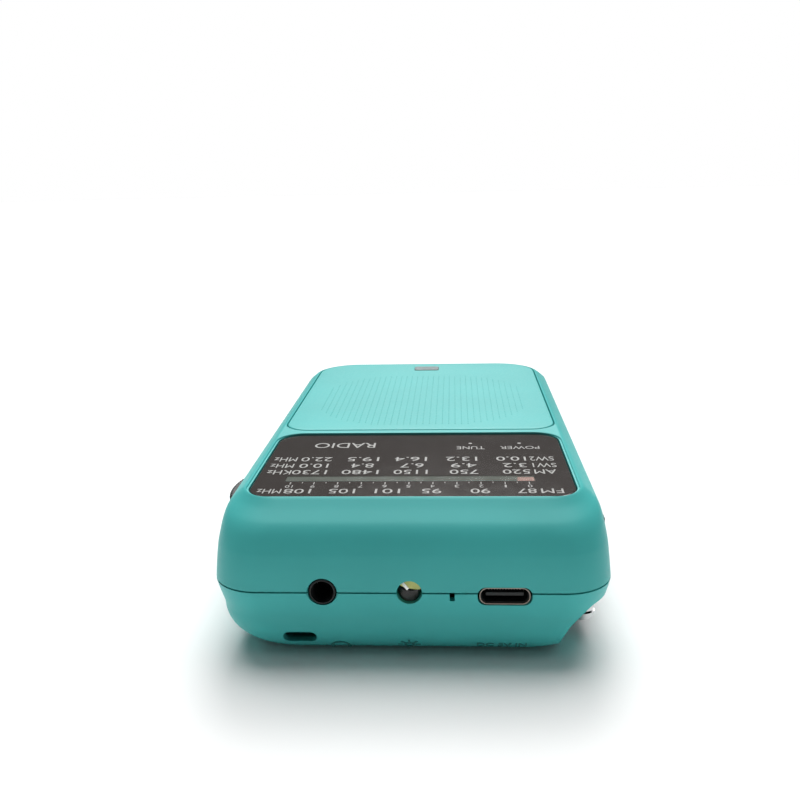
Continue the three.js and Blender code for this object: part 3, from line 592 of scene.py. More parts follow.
def port_holes():
    """The flared openings for the jack, the flashlight and the charging socket."""
    jack = turned_along([(0, -3), (2.95, -3), (2.95, -0.1), (2.6, 0.3), (2.6, 5), (0, 5)],
                        JACK_X, SEAM_Z)
    lamp = turned_along([(0, -3), (2.45, -3), (2.45, -0.1), (2.2, 0.25), (2.2, 5), (0, 5)],
                        0, SEAM_Z)
    usb = slotted_end(USB["x"], USB["z"], USB["width"] / 2 + 0.3, USB["height"] / 2 + 0.2, 1.5,
                      -0.2, 5, flare=0.3)
    return [jack, lamp, usb]


def wheel_room():
    """Room for both thumbwheels and the cord drum, open at the side wall."""
    return [pin(TUNING["x"], TUNING["along"], TUNING["radius"] + DRIVE_CLEAR, 17.8, 21.7, 96),
            pin(TUNING["x"], TUNING["along"], DRUM_RADIUS + 1.5, 21.4, DRUM_TOP + 0.2, 64),
            pin(VOLUME["x"], VOLUME["along"], VOLUME["radius"] + DRIVE_CLEAR, 12.9, 16.4, 72)]


def slot_across(knob):
    """The slot in the side wall that a knob slides in, flared at the outside."""
    low = knob["along"] - knob["half"] - 0.3
    high = knob["along"] + knob["travel"] + knob["half"] + 0.3
    rings = []
    for x, extra in ((34, 0.0), (35.6, 0.0), (36.6, 0.5)):
        ring = rounded_ring(1.8 + extra, low - extra, high + extra, 0.5 + extra, 0, steps=5)
        rings.append([(x, along, KNOB_Z + offset) for offset, along, _ in ring])
    return outward(loft(rings))


def pocket(half, low, high, radii, floor, lip):
    """A cutter for a pocket in the face, its mouth opened by a small chamfer."""
    levels = [(floor, 0.0), (HEIGHT - lip, 0.0), (HEIGHT + 0.6, lip + 0.6)]
    far, near = radii
    return loft([rounded_ring(half + grow, low - grow, high + grow, (far + grow, near + grow), z)
                 for z, grow in levels])


def face_cutters():
    """The seats of the dial panel and speaker panel, and the openings under them."""
    lens, grille, fit = LENS, GRILLE, 0.18
    ledge = pocket(lens["half"] + 0.55, lens["low"] - 0.5, lens["high"] + 0.1,
                   (lens["radius"] + 0.4, lens["radius"] + 0.5), lens["top"] + 0.1, 0.12)
    lens_pocket = prism(rounded_ring(lens["half"] + fit, lens["low"] - fit, lens["high"] + fit,
                                     lens["radius"] + fit, 0), lens["seat"], 30)
    grille_pocket = pocket(grille["half"] + fit, grille["low"] - fit, grille["high"] + fit,
                           (grille["far_radius"] + fit, grille["radius"] + fit), grille["seat"],
                           0.1)
    window = block(-28, 27, 14.8, 24, 24, 26)
    sound = pin(0, SPEAKER_ALONG, 22.5, 24, 27, 64)
    lamps = [pin(x, DIAL_LED_ALONG, 1.5, 24, 26, 24) for x in DIAL_LEDS.values()]
    return [lens_pocket, ledge, grille_pocket, window, sound, *lamps]


def build_front_shell():
    cavity = case_loft([even_level(12, WALL, 8), (17, 2.1, 2.2, 2.1, 7.9, 7.9),
                        (21.5, 2.6, 3.5, 2.6, 7.8, 7.8), (24.6, 3.4, 6.3, 3.4, 7.3, 7.3)], 4)
    posts = [pin(x, along, 2.8, 10.9, 24.9, 24) for x, along in SCREWS]
    pilots = [pin(x, along, 1.2, 10, 20, 12) for x, along in SCREWS]
    shell = join(cut(case_loft(FRONT_LEVELS, 3), cavity), *posts)
    shell = cut(shell, *pilots, *face_cutters(), *port_holes(), *wheel_room(),
                slot_across(BAND), slot_across(LIGHT))
    piece("front_shell_fine", shell, "case", "case_plastic", "case",
          replaces=["front_shell"], smooth=28)


def back_outside():
    """The outside of the back: a quarter-ellipse rounding, then its drafted wall."""
    rows = []
    steps = 12
    for step in range(steps + 1):
        angle = step / steps * math.pi / 2
        inset = 9 - 8 * math.sin(angle)
        rows.append(even_level(FLOOR_Z + 9.2 * (1 - math.cos(angle)), inset, 9 + inset / 6))
    for z, inset in ((10.2, 0.62), (12, 0.22), (SEAM_Z - SEAM_GAP / 2, 0.0)):
        rows.append(even_level(z, inset, 9.0))
    return case_loft(rows, 2)


def engraved_marks():
    """Shallow signs under the sockets: a headphone, a lamp and the charging voltage."""
    marks = []
    tilt = Matrix.Translation(SIGN_PLACE) @ Matrix.Rotation(math.radians(SIGN_TILT), 4, "X")
    for x, build in ((-12.9, headphone_sign), (-0.35, lamp_sign), (16.35, voltage_sign)):
        sign = build()
        sign.transform(Matrix.Translation((x, 0, 0)) @ tilt)
        marks.append(sign)
    return marks


def bar(x0, y0, x1, y1, width=0.3, depth=0.12):
    """A thin straight stroke lying on a sign's plane."""
    run = Vector((x1 - x0, y1 - y0, 0))
    bm = block(-width / 2, width / 2, -width / 2, run.length + width / 2, -depth, depth)
    angle = math.atan2(run.y, run.x) - math.pi / 2
    bm.transform(Matrix.Translation((x0, y0, 0)) @ Matrix.Rotation(angle, 4, "Z"))
    return bm


def arc_bars(cx, cy, radius, start, end, count=8):
    """A thin arc made of straight strokes, from one angle to another in degrees."""
    points = [(cx + radius * math.cos(math.radians(start + (end - start) * k / count)),
               cy + radius * math.sin(math.radians(start + (end - start) * k / count)))
              for k in range(count + 1)]
    return [bar(*a, *b) for a, b in zip(points, points[1:])]


def headphone_sign():
    return gather(*arc_bars(0, -0.5, 1.5, 0, 180), bar(-1.5, -1.2, -1.5, -0.5, 0.6),
                  bar(1.5, -1.2, 1.5, -0.5, 0.6))


def lamp_sign():
    rays = []
    for turn in (0, 45, 90, 135, 180):
        out = Vector((math.cos(math.radians(turn)), math.sin(math.radians(turn))))
        rays.append(bar(*(out * 1.25), *(out * 1.9)))
    return gather(*arc_bars(0, 0, 0.8, -50, 230), bar(-0.4, -0.95, 0.4, -0.95, 0.35), *rays)


def voltage_sign():
    return letters("DC 5V IN", 2.4, 0.12, stretch=0.93, weight=0.03)


def letters(text, size, depth, stretch=1.0, weight=0.0, turn=0.0):
    """Raised lettering as a closed mesh about its own middle, turned in its plane."""
    curve = bpy.data.curves.new("letters", "FONT")
    curve.body = text
    curve.size = size
    curve.extrude = depth
    curve.offset = weight
    curve.align_x = "CENTER"
    curve.align_y = "CENTER"
    curve.resolution_u = 4
    holder = bpy.data.objects.new("letters", curve)
    bpy.context.scene.collection.objects.link(holder)
    evaluated = holder.evaluated_get(bpy.context.evaluated_depsgraph_get())
    mesh = bpy.data.meshes.new_from_object(evaluated)
    bm = bmesh.new()
    bm.from_mesh(mesh)
    bpy.data.objects.remove(holder)
    bpy.data.curves.remove(curve)
    bpy.data.meshes.remove(mesh)
    bm.transform(Matrix.Rotation(turn, 4, "Z") @ Matrix.Diagonal((stretch, 1, 1, 1)))
    bmesh.ops.remove_doubles(bm, verts=bm.verts[:], dist=0.0005)
    return bm


def battery_well():
    """The rails of the battery door and the walls round the battery."""
    rails = block(-21.5, 21.5, DOOR["low"] - 2, 120, FLOOR_Z + 0.5, FLOOR_Z + 3.2)
    return [rails, block(*BATTERY_WALLS, FLOOR_Z + 0.5, 8.2)]


def door_space():
    """Room for the battery door, its grooves and the battery."""
    fit = 0.25
    groove = DOOR["half"] + DOOR["tongue"] + fit
    recess = prism(rounded_ring(DOOR["half"] + fit, DOOR["low"] - fit, 132, 1.2, 0, steps=6),
                   -2, FLOOR_Z + DOOR["thick"] + fit)
    return [recess, block(-groove, groove, DOOR["low"] - fit, 130, FLOOR_Z + 0.3, FLOOR_Z + 1.45),
            block(*BATTERY_ROOM, 0, 7.2)]


def build_back_shell():
    cavity = case_loft([even_level(FLOOR_Z + WALL, 7, 5.5), even_level(2.6, 4.4, 6.8),
                        even_level(7, 2.9, 7.5), even_level(11, 1.9, 8),
                        even_level(14, WALL, 8.1)], 4)
    posts = [pin(x, along, 3.2, FLOOR_Z + 0.5, 9, 24) for x, along in SCREWS]
    inner = join(section_along(CHANNEL_WALL, -1, LENGTH + 1), block(24.9, 40, 7, 20.6, 0, 12),
                 *battery_well(), *posts)
    inner = combine(inner, [back_outside()], "INTERSECT")
    shell = join(cut(back_outside(), cavity), inner)
    heads = [pin(x, along, 2.4, -2, FLOOR_Z + 2.4, 32) for x, along in SCREWS]
    shanks = [pin(x, along, 1.3, 0, 10, 16) for x, along in SCREWS]
    room = block(26.5, 34.8, 8.6, 19, 1, 9.6)
    stub = turned_across([(0, 22), (1.7, 22), (1.7, 29), (0, 29)], ANTENNA["along"], ANTENNA["z"])
    charge = slotted_end(CHARGE_X, SEAM_Z - 0.55, 0.45, 1.05, 0.2, -1, 4, steps=3)
    strap_end = slotted_end(STRAP["x"], STRAP["z"], STRAP["width"] / 2, STRAP["height"] / 2, 1.25,
                            -0.5, 8, steps=10)
    strap_back = block(STRAP["x"] - 3.1, STRAP["x"] + 3.1, 10.4, 13, -2, 3)
    channel = section_along(round_corners(CHANNEL), -2, LENGTH + 2)
    shell = cut(shell, *heads, *shanks, channel, room, stub,
                *door_space(), strap_end, strap_back, *port_holes(), charge, *wheel_room())
    piece("back_shell_fine", shell, "case", "case_plastic", "case",
          replaces=["back_shell"], smooth=28)


def round_corners(outline, steps=5):
    """Softens the bends of a section's outline, leaving its ends alone."""
    fine = [outline[0]]
    for before, corner, after in zip(outline, outline[1:-2], outline[2:]):
        for step in range(steps + 1):
            t = step / steps
            start = [c + (b - c) * 0.4 for b, c in zip(before, corner)]
            end = [c + (a - c) * (0.4 if after != outline[-2] else 0.08)
                   for a, c in zip(after, corner)]
            fine.append(tuple(s * (1 - t) ** 2 + 2 * c * t * (1 - t) + e * t * t
                              for s, c, e in zip(start, corner, end)))
    return fine + list(outline[-2:])


def build_battery_door():
    skin = combine(back_outside(), [
        prism(rounded_ring(DOOR["half"], DOOR["low"], 131, 1.1, 0, steps=6), -2,
              FLOOR_Z + DOOR["thick"])], "INTERSECT")
    tongue = DOOR["half"] + DOOR["tongue"]
    skin = join(skin, block(-tongue, tongue, DOOR["low"] + 1, 116, FLOOR_Z + 0.55, FLOOR_Z + 1.15))
    grip = [grip_groove(7 - abs(row - 3) * 0.9, 66 + row * 1.6) for row in range(7)]
    piece("battery_door_fine", cut(skin, *grip, sunk_arrow(82)), "battery_door",
          "case_plastic", "case", replaces=["battery_door"], smooth=28)


def grip_groove(half, along):
    """A shallow groove across the door, rounded at its ends."""
    return prism(rounded_ring(half, along, along + 0.8, 0.39, 0, steps=4), -2, FLOOR_Z + 0.45)


def sunk_arrow(along):
    """A cutter for the arrow that shows which way the door slides."""
    outline = [(0, 5), (-3.2, 1.2), (-1.3, 1.2), (-1.3, -3), (1.3, -3), (1.3, 1.2), (3.2, 1.2)]
    return loft([[(x, along + reach, z) for x, reach in outline] for z in (-2, FLOOR_Z + 0.35)])


# --- Face --------------------------------------------------------------------------------------

def fill_between(bm, outer, holes):
    """Fills the flat area between an outer ring of vertices and the rings inside it."""
    edges = []
    for ring in [outer, *holes]:
        for a, b in zip(ring, ring[1:] + ring[:1]):
            edges.append(bm.edges.get((a, b)) or bm.edges.new((a, b)))
    bmesh.ops.triangle_fill(bm, use_beauty=True, use_dissolve=False, edges=edges)


def build_speaker_grille(sizes):
    """The speaker panel, finely perforated, with a seat for the badge; each blind hole ends in a black
    floor, painted shade for the dark speaker space behind.
    """
    grille = GRILLE
    top = grille["top"]
    bm = bmesh.new()
    levels = [(grille["bottom"], 0.0), (top - 0.36, 0.0), (top - 0.1, 0.14), (top, 0.34)]
    rings = []
    for z, inset in levels:
        ring = rounded_ring(grille["half"] - inset, grille["low"] + inset, grille["high"] - inset,
                            (grille["far_radius"] - inset, grille["radius"] - inset), z)
        rings.append([bm.verts.new(point) for point in ring])
    for lower, upper in zip(rings, rings[1:]):
        wall_between(bm, lower, upper)
    bm.faces.new(reversed(rings[0]))
    pitch = sizes.hole_pitch / MM
    hole = sizes.hole_size / MM / 2
    columns = rows = int(2 * FIELD_REACH / pitch)
    x0 = -columns * pitch / 2
    y0 = FIELD_ALONG - rows * pitch / 2
    floor = top - 0.6
    lattice = {}

    def corner(i, j):
        """Lattice vertex in half pitches."""
        if (i, j) not in lattice:
            lattice[(i, j)] = bm.verts.new((x0 + i * pitch / 2, y0 + j * pitch / 2, top))
        return lattice[(i, j)]

    around = [(2, 1), (2, 2), (1, 2), (0, 2), (0, 1), (0, 0), (1, 0), (2, 0)]
    for column in range(columns):
        for row in range(rows):
            cx = x0 + (column + 0.5) * pitch
            cy = y0 + (row + 0.5) * pitch
            rim = [corner(2 * column + i, 2 * row + j) for i, j in around]
            if sum(abs(d / FIELD_REACH) ** 2.6 for d in (cx, cy - FIELD_ALONG)) > 1:
                bm.faces.new(rim)
                continue
            mouth = [bm.verts.new((cx + hole * math.cos(k * math.pi / 4),
                                   cy + hole * math.sin(k * math.pi / 4), top)) for k in range(8)]
            base = [bm.verts.new((v.co.x, v.co.y, floor)) for v in mouth]
            wall_between(bm, mouth, rim)
            wall_between(bm, base, mouth)
            # A black floor in each blind hole: painted shade standing for the dark space behind the
            # holes.
            bm.faces.new(base).material_index = 1
    border = [corner(2 * columns, j) for j in range(2 * rows)]
    border += [corner(i, 2 * rows) for i in range(2 * columns, 0, -1)]
    border += [corner(0, j) for j in range(2 * rows, 0, -1)]
    border += [corner(i, 0) for i in range(2 * columns)]
    fit = 0.12
    seat = [bm.verts.new(point) for point in
            rounded_ring(BADGE["half"] + fit, BADGE["low"] - fit, BADGE["high"] + fit, 0.8, top,
                         steps=5)]
    seat_floor = [bm.verts.new((v.co.x, v.co.y, top - 0.5)) for v in seat]
    wall_between(bm, seat_floor, seat)
    bm.faces.new(seat_floor)
    fill_between(bm, rings[-1], [border, seat])
    piece("speaker_grille_fine", bm, "case", "case_plastic", "case", "black",
          replaces=["speaker_grille"], smooth=40)


def build_badge():
    """A small blank plate with softened edges."""
    rings = [rounded_ring(BADGE["half"] - inset, BADGE["low"] + inset, BADGE["high"] - inset,
                          0.7 - inset / 2, z, steps=6)
             for z, inset in ((27.45, 0.0), (27.95, 0.0), (28.05, 0.06), (28.1, 0.2))]
    piece("grille_badge_fine", loft(rings), "case", "badge", "badge", replaces=["grille_badge"])


def build_dial_panel():
    """The glossy dial panel with the pointer's window cut through it."""
    levels = [(LENS["bottom"], 0.0), (27.1, 0.0), (27.28, 0.05), (27.37, 0.14), (LENS["top"], 0.3)]
    body = loft([rounded_ring(LENS["half"] - inset, LENS["low"] + inset, LENS["high"] - inset,
                              LENS["radius"] - inset, z) for z, inset in levels])
    groove = block(-28, 27, POINTER["low"] - 0.4, POINTER["high"] + 0.5, 25, POINTER["top"] + 0.3)
    middle = (SLOT["left"] + SLOT["right"]) / 2
    half = (SLOT["right"] - SLOT["left"]) / 2
    window = prism(rounded_ring(half, SLOT["low"], SLOT["high"], 0.4, 0, x=middle, steps=5), 26, 29)
    piece("dial_lens_fine", cut(body, groove, window), "case", "dial_window", "panel",
          replaces=["dial_lens"])
    pane = prism(rounded_ring(half - 0.04, SLOT["low"] + 0.04, SLOT["high"] - 0.04, 0.36, 0,
                              x=middle, steps=5), 27.29, LENS["top"] - 0.02, chamfer=0.04)
    piece("dial_pane", pane, "case", "dial_window", "pane")


# Each row of the dial: where it lies, the height of its letters, and (text, middle, width).
DIAL_ROWS = [
    (13.4, 2.4, [("FM", 26.0, 4.1), ("87", 21.4, 3.5), ("90", 12.8, 3.6), ("95", 3.8, 3.6),
                  ("101", -4.4, 4.7), ("105", -12.9, 4.9), ("108", -21.3, 5.1),
                  ("MHz", -26.7, 4.6)]),
    (24.3, 2.5, [("AM", 25.8, 4.3), ("520", 20.2, 5.4), ("750", 9.9, 5.6), ("1150", -0.6, 6.7),
                  ("1480", -10.6, 7.3), ("1730", -20.7, 6.9), ("KHz", -26.8, 4.8)]),
    (28.3, 2.5, [("SW1", 26.0, 4.7), ("3.2", 20.1, 4.7), ("4.9", 9.9, 5.1), ("6.7", -0.5, 4.7),
                 ("8.4", -10.5, 4.6), ("10.0", -20.4, 5.9), ("MHz", -26.9, 4.8)]),
    (32.5, 2.6, [("SW2", 25.8, 4.9), ("10.0", 19.6, 6.0), ("13.2", 9.5, 6.4), ("16.4", -0.9, 6.6),
                  ("19.5", -10.7, 6.5), ("22.0", -20.4, 6.4), ("MHz", -26.9, 4.8)]),
    (40.1, 2.0, [("POWER", 21.9, 8.3), ("TUNE", 11.5, 5.9)]),
    (42.1, 3.5, [("RADIO", -15.6, 13.2)]),
]
# The scale of 0 to 10: where its 0 stands, its step, its numbers and its long and short ticks.
LOG_ZERO = 22.15
LOG_STEP = 4.55
LOG_NUMBERS = 16.0
LONG_TICK = (17.1, 18.35)
SHORT_TICK = (17.75, 18.35)


def fitted_letters(text, middle, along, height, width):
    """One word of print, lying face up and read from the antenna side, of a set size."""
    bm = letters(text, 1.0, 0.01, turn=math.pi)
    xs = [v.co.x for v in bm.verts]
    ys = [v.co.y for v in bm.verts]
    scale_x = width / (max(xs) - min(xs))
    scale_y = height / (max(ys) - min(ys))
    centre = Vector(((max(xs) + min(xs)) / 2, (max(ys) + min(ys)) / 2, 0))
    bm.transform(Matrix.Translation((middle, along, LENS["top"]))
                 @ Matrix.Diagonal((scale_x, scale_y, 1, 1)) @ Matrix.Translation(-centre))
    return bm


def build_dial_print():
    """All the dial's print: the rows of numbers, the scale's ticks and the lamps' dots."""
    words = []
    under, over = LENS["top"] - 0.01, LENS["top"] + 0.01
    for along, height, row in DIAL_ROWS:
        for text, middle, width in row:
            words.append(fitted_letters(text, middle, along, height, width))
    for number in range(11):
        x = LOG_ZERO - number * LOG_STEP
        width = 1.45 if number == 10 else (0.35 if number == 1 else 0.85)
        words.append(fitted_letters(str(number), x, LOG_NUMBERS, 1.4, width))
        words.append(block(x - 0.09, x + 0.09, *LONG_TICK, under, over))
        if number < 10:
            half_way = x - LOG_STEP / 2
            words.append(block(half_way - 0.08, half_way + 0.08, *SHORT_TICK, under, over))
    for x in DIAL_LEDS.values():
        words.append(pin(x, DIAL_LED_ALONG, 0.4, under, over + 0.002, 20))
    piece("dial_print", gather(*words), "case", "dial_plate", "print", weighted=False)


def build_pointer():
    """A blade with a raised rib over the dial plate, and a fork that holds the cord."""
    x, half, bottom, top = (POINTER[key] for key in ("x", "half", "bottom", "top"))
    blade = soft_block(x - half, x + half, POINTER["low"], POINTER["high"], bottom, top,
                       edge=0.12, segments=2)
    rib = soft_block(x - 1.6, x + 1.6, SLOT["low"] + 0.2, SLOT["high"] - 0.2, top - 0.2, 27.24,
                     edge=0.1, segments=2)
    left, right = x - half + 0.3, x + half - 0.3
    neck = block(left, right, CORD_ALONG - 0.3, CORD_ALONG + 0.3, 22.5, bottom + 0.2)
    bridge = block(left, right, CORD_ALONG - 0.95, CORD_ALONG + 0.95, 22.45, 22.75)
    prongs = [block(left, right, CORD_ALONG + side, CORD_ALONG + side + 0.4, 21.5, 22.6)
              for side in (-0.95, 0.55)]
    piece("dial_pointer_fine", join(blade, rib, neck, bridge, *prongs), "dial_pointer", "pointer_red",
          "pointer", replaces=["dial_pointer"])


# --- Wheels and knobs --------------------------------------------------------------------------

def ribbed_disc(x, along, radius, bottom, top, ribs, depth, edge=0.35):
    """A thumbwheel's rim with fine ribs all round and softened edges."""
    def level(z, inset):
        points = []
        for k in range(ribs * 4):
            angle = 2 * math.pi * k / (ribs * 4)
            reach = radius - inset - (depth if k % 4 in (2, 3) else 0)
            points.append((x + reach * math.cos(angle), along + reach * math.sin(angle), z))
        return points
    return loft([level(bottom, edge), level(bottom + edge, 0), level(top - edge, 0),
                 level(top, edge)])


def fit_wheel(name, wheel, screw):
    """Names a finished thumbwheel and the screw that holds it."""
    piece(f"{name}_wheel_fine", wheel, f"{name}_wheel", "black_plastic", "wheel",
          replaces=[f"{name}_wheel"], smooth=30)
    piece(f"{name}_screw_fine", screw, f"{name}_wheel", "steel", "steel",
          replaces=[f"{name}_screw"])


def build_tuning_wheel():
    x, along, radius, bottom, top = TUNING.values()
    rim = ribbed_disc(x, along, radius, bottom, top, 110, 0.35)
    drum = pin(x, along, DRUM_RADIUS, top - 0.2, DRUM_TOP, 80, chamfer=0.15)
    spigot = pin(x, along, 2.8, 14.6, bottom + 0.2, 32)
    dish = pin(x, along, 11, DRUM_TOP - 0.5, 24, 64)
    seat = pin(x, along, 3, 20.6, 24, 32)
    hole = pin(x, along, 1.2, 15.2, 21, 16)
    fit_wheel("tuning", cut(join(rim, drum, spigot), dish, seat, hole),
              crosshead(x, along, 2.6, 20.8, 22.2, 1, 15.6, up=True))


def build_volume_wheel():
    x, along, radius, bottom, top = VOLUME.values()
    rim = ribbed_disc(x, along, radius, bottom, top, 66, 0.3)
    spigot = pin(x, along, 2.4, 11.4, bottom + 0.2, 32)
    dish = pin(x, along, 8.6, top - 0.4, 17, 48)
    seat = pin(x, along, 2.3, 14.7, 17, 32)
    hole = pin(x, along, 1, 11.8, 15, 16)
    fit_wheel("volume", cut(join(rim, spigot), dish, seat, hole),
              crosshead(x, along, 2, 14.9, 15.8, 0.8, 12.1, up=True))


def crosshead(x, along, head, z0, z1, shank, far_z, up):
    """A pan-headed screw with a cross recess and threads cut as rings."""
    sign = 1 if up else -1
    face, under = (z1, z0) if up else (z0, z1)
    dome = [(0, face), (head * 0.55, face), (head * 0.88, face - sign * 0.18),
            (head, face - sign * 0.45), (head, under)]
    thread = []
    z = under
    while abs(z - far_z) > 0.9:
        thread += [(shank - 0.18, z), (shank, z - sign * 0.3), (shank - 0.18, z - sign * 0.6)]
        z -= sign * 0.6
    profile = dome + thread + [(shank * 0.5, far_z + sign * 0.1), (0, far_z)]
    bm = turned(profile, 32)
    bm.transform(Matrix.Translation((x, along, 0)))
    deep = face - sign * 0.6
    low, high = min(deep, face + sign), max(deep, face + sign)
    recess = [block(x - 0.24, x + 0.24, along - head * 0.55, along + head * 0.55, low, high),
              block(x - head * 0.55, x + head * 0.55, along - 0.24, along + 0.24, low, high)]
    return cut(bm, *recess)


def build_knob(name, knob):
    """A slide knob with a serrated cap, a flange behind the slot and a stem to the switch."""
    along, travel, half = knob["along"], knob["travel"], knob["half"]
    cap_x = WIDTH / 2 + KNOB_PROUD
    cap = soft_block(33.6, cap_x, along - half, along + half, KNOB_Z - 1.5, KNOB_Z + 1.5, 0.3)
    reach = half + travel
    flange = block(32.4, 33.7, along - reach, along + reach, KNOB_Z - 2.3, KNOB_Z + 2.3)
    stem = block(26.3, 32.6, along - 1.4, along + 1.4, KNOB_Z - 1, KNOB_Z + 1)
    grooves = []
    for line in range(5):
        centre = along + (line - 2) * (2 * half - 1.4) / 4
        grooves.append(block(cap_x - 0.35, cap_x + 1, centre - 0.18, centre + 0.18,
                             KNOB_Z - 2, KNOB_Z + 2))
    piece(f"{name}_fine", cut(join(cap, flange, stem), *grooves), name, "black_plastic", "black",
          replaces=[name])


# --- Sockets and lamps -------------------------------------------------------------------------

def build_headphone_jack():
    """The jack's body with its stepped bore, and two spring contacts inside."""
    body = block(JACK_X - 3.1, JACK_X + 3.1, 2.3, 13.5, 10.8, 16.2)
    nose = turned_along([(0, 0.3), (2.1, 0.3), (2.3, 0.4), (2.42, 0.65), (2.42, 3), (0, 3)],
                        JACK_X, SEAM_Z)
    bore = turned_along([(0, -1), (2.15, -1), (2.05, 0.5), (1.85, 0.9), (1.85, 12), (0, 12)],
                        JACK_X, SEAM_Z)
    piece("headphone_jack_fine", cut(join(body, nose), bore), "case", "black_plastic", "black",
          replaces=["headphone_jack"])
    springs = [soft_block(JACK_X + side, JACK_X + side + 0.5, 2.4 + low, 3.6 + low, SEAM_Z - 0.6,
                          SEAM_Z + 0.6, 0.1, 2) for side, low in ((-1.95, 2.6), (1.45, 5.2))]
    piece("jack_contacts", gather(*springs), "case", "steel", "steel")


def usb_solid(shrink, levels):
    """A solid of the socket's outline, smaller by shrink, through (along, extra) levels."""
    rings = []
    for along, extra in levels:
        width = USB["width"] - shrink + extra
        height = USB["height"] - shrink + extra
        ring = rounded_ring(width / 2, -height / 2, height / 2, height * 0.47, 0, steps=10)
        rings.append([(USB["x"] + x, along, USB["z"] + z) for x, z, _ in ring])
    return outward(loft(rings))


def build_usb_socket():
    """The socket's folded shell, a black sleeve inside it as painted shade, and the tongue with its
    contacts.
    """
    outside = usb_solid(0, [(0.45, -0.1), (0.55, 0), (8.7, 0)])
    inside = usb_solid(0.44, [(0, 0.14), (0.5, 0.1), (0.62, 0), (8.4, 0)])
    legs = [block(USB["x"] + side, USB["x"] + side + 0.6, 4, 7, 10.8, 11.6) for side in (-4, 3.4)]
    piece("usb_socket_fine", join(cut(outside, inside), *legs), "case", "steel", "bright_rim",
          replaces=["usb_socket"])
    # A black sleeve inside the shell: painted shade where the socket's inside lies in shadow.
    shade_sleeve = cut(usb_solid(0.46, [(0.9, 0), (8.3, 0)]), usb_solid(0.7, [(0.5, 0), (8.5, 0)]))
    piece("usb_shade_sleeve", shade_sleeve, "case", "black_plastic", "black")
    base = usb_solid(0.7, [(5.2, 0), (8.2, 0)])
    tongue = soft_block(USB["x"] - 3.35, USB["x"] + 3.35, 1.3, 6, USB["z"] - 0.35, USB["z"] + 0.35,
                        0.15, 2)
    piece("usb_tongue_fine", join(base, tongue), "case", "black_plastic", "tongue",
          replaces=["usb_tongue"])
    pads = []
    for side in (-1, 1):
        for k in range(12):
            x = USB["x"] - 2.75 + k * 0.5
            z = USB["z"] + side * 0.35
            pads.append(block(x - 0.13, x + 0.13, 2.2, 4.6, z - 0.04, z + 0.04))
    piece("usb_contacts", gather(*pads), "case", "steel", "steel")


def build_flashlight(sizes):
    """A clear round lamp: resin body, black cup, bright ring, phosphor disc and two leads; the black
    cup and the disc cut to its upper half paint shade in the dome's lower half.
    """
    radius, front, steps = 2.05, -0.2, 12
    dome = sizes.lamp_dome / MM
    profile = [(0, front)]
    for step in range(1, steps + 1):
        angle = step / steps * math.pi / 2
        profile.append((radius * math.sin(angle), front + dome * (1 - math.cos(angle))))
    profile += [(radius, 6.4), (2.4, 6.4), (2.4, 7.3), (0, 7.3)]
    piece("flashlight_resin", turned_along(profile, 0, SEAM_Z, 64), "case", "clear_led", "lamp",
          replaces=["flashlight_led"])
    cup = turned_along([(0, 4.5), (1.9, 4.5), (1.9, 2.2), (1.7, 2), (0, 2)], 0, SEAM_Z, 48)
    bowl = turned_along([(0, 4.2), (1.1, 4.1), (1.65, 2.4), (1.65, 1), (0, 1)], 0, SEAM_Z, 48)
    # The phosphor is cut to its upper half over the black cup: painted shade for the dome's dark lower
    # half.
    painted_shade_half = block(-3, 3, 0, 6, -3, -0.1)
    painted_shade_half.transform(Matrix.Translation((0, 0, SEAM_Z)) @ Matrix.Rotation(0.2, 4, "Y"))
    piece("flashlight_cup", cut(cup, bowl), "case", "clear_led", "black")
    sheet = turned_along([(0, 2.3), (1.4, 2.35), (1.62, 2.5), (1.62, 2.62), (0, 2.62)], 0, SEAM_Z,
                         40)
    piece("flashlight_phosphor", cut(sheet, painted_shade_half), "case", "clear_led", "phosphor")
    ring = cut(turned_along([(0, 1.75), (1.92, 1.75), (1.92, 2.0), (0, 2.0)], 0, SEAM_Z, 48),
               turned_along([(0, 1), (1.72, 1), (1.72, 3), (0, 3)], 0, SEAM_Z, 48))
    bridge = block(-1.8, 0.2, 1.6, 1.85, -0.2, 0.2)
    bridge.transform(Matrix.Translation((-0.35, 0, SEAM_Z + 0.25)) @ Matrix.Rotation(0.85, 4, "Y"))
    piece("flashlight_frame", join(ring, bridge), "case", "clear_led", "mirror")
    leads = [block(side, side + 0.5, 5.3, 7.7, 10.8, SEAM_Z - 0.6) for side in (-1.5, 1)]
    piece("flashlight_leads", gather(*leads), "case", "clear_led", "steel")


def build_dial_lamps():
    """The two small lamps under the dial panel, each with its leads."""
    for name, x in DIAL_LEDS.items():
        lamp = turned([(0, 19), (1.4, 19), (1.4, 19.8), (1, 19.8), (1, 24.3), (0.7, 24.75),
                       (0.35, 24.88), (0, 24.9)], 28)
        lamp.transform(Matrix.Translation((x, DIAL_LED_ALONG, 0)))
        leads = [block(x + side, x + side + 0.5, DIAL_LED_ALONG - 0.25, DIAL_LED_ALONG + 0.25,
                       10.8, 19.2) for side in (-0.9, 0.4)]
        piece(f"{name}_fine", gather(lamp, *leads), "case", "clear_led", "haze", replaces=[name])


# --- Screws and antenna ------------------------------------------------------------------------

def build_case_screws():
    """The four screws that hold the back, set head down in their wells."""
    for k, (x, along) in enumerate(SCREWS):
        screw = crosshead(x, along, 2.1, FLOOR_Z + 0.7, FLOOR_Z + 2.2, 1, 18, up=False)
        piece(f"case_screw_{k + 1}_fine", screw, "case", "steel", "steel",
              replaces=[f"case_screw_{k + 1}"])


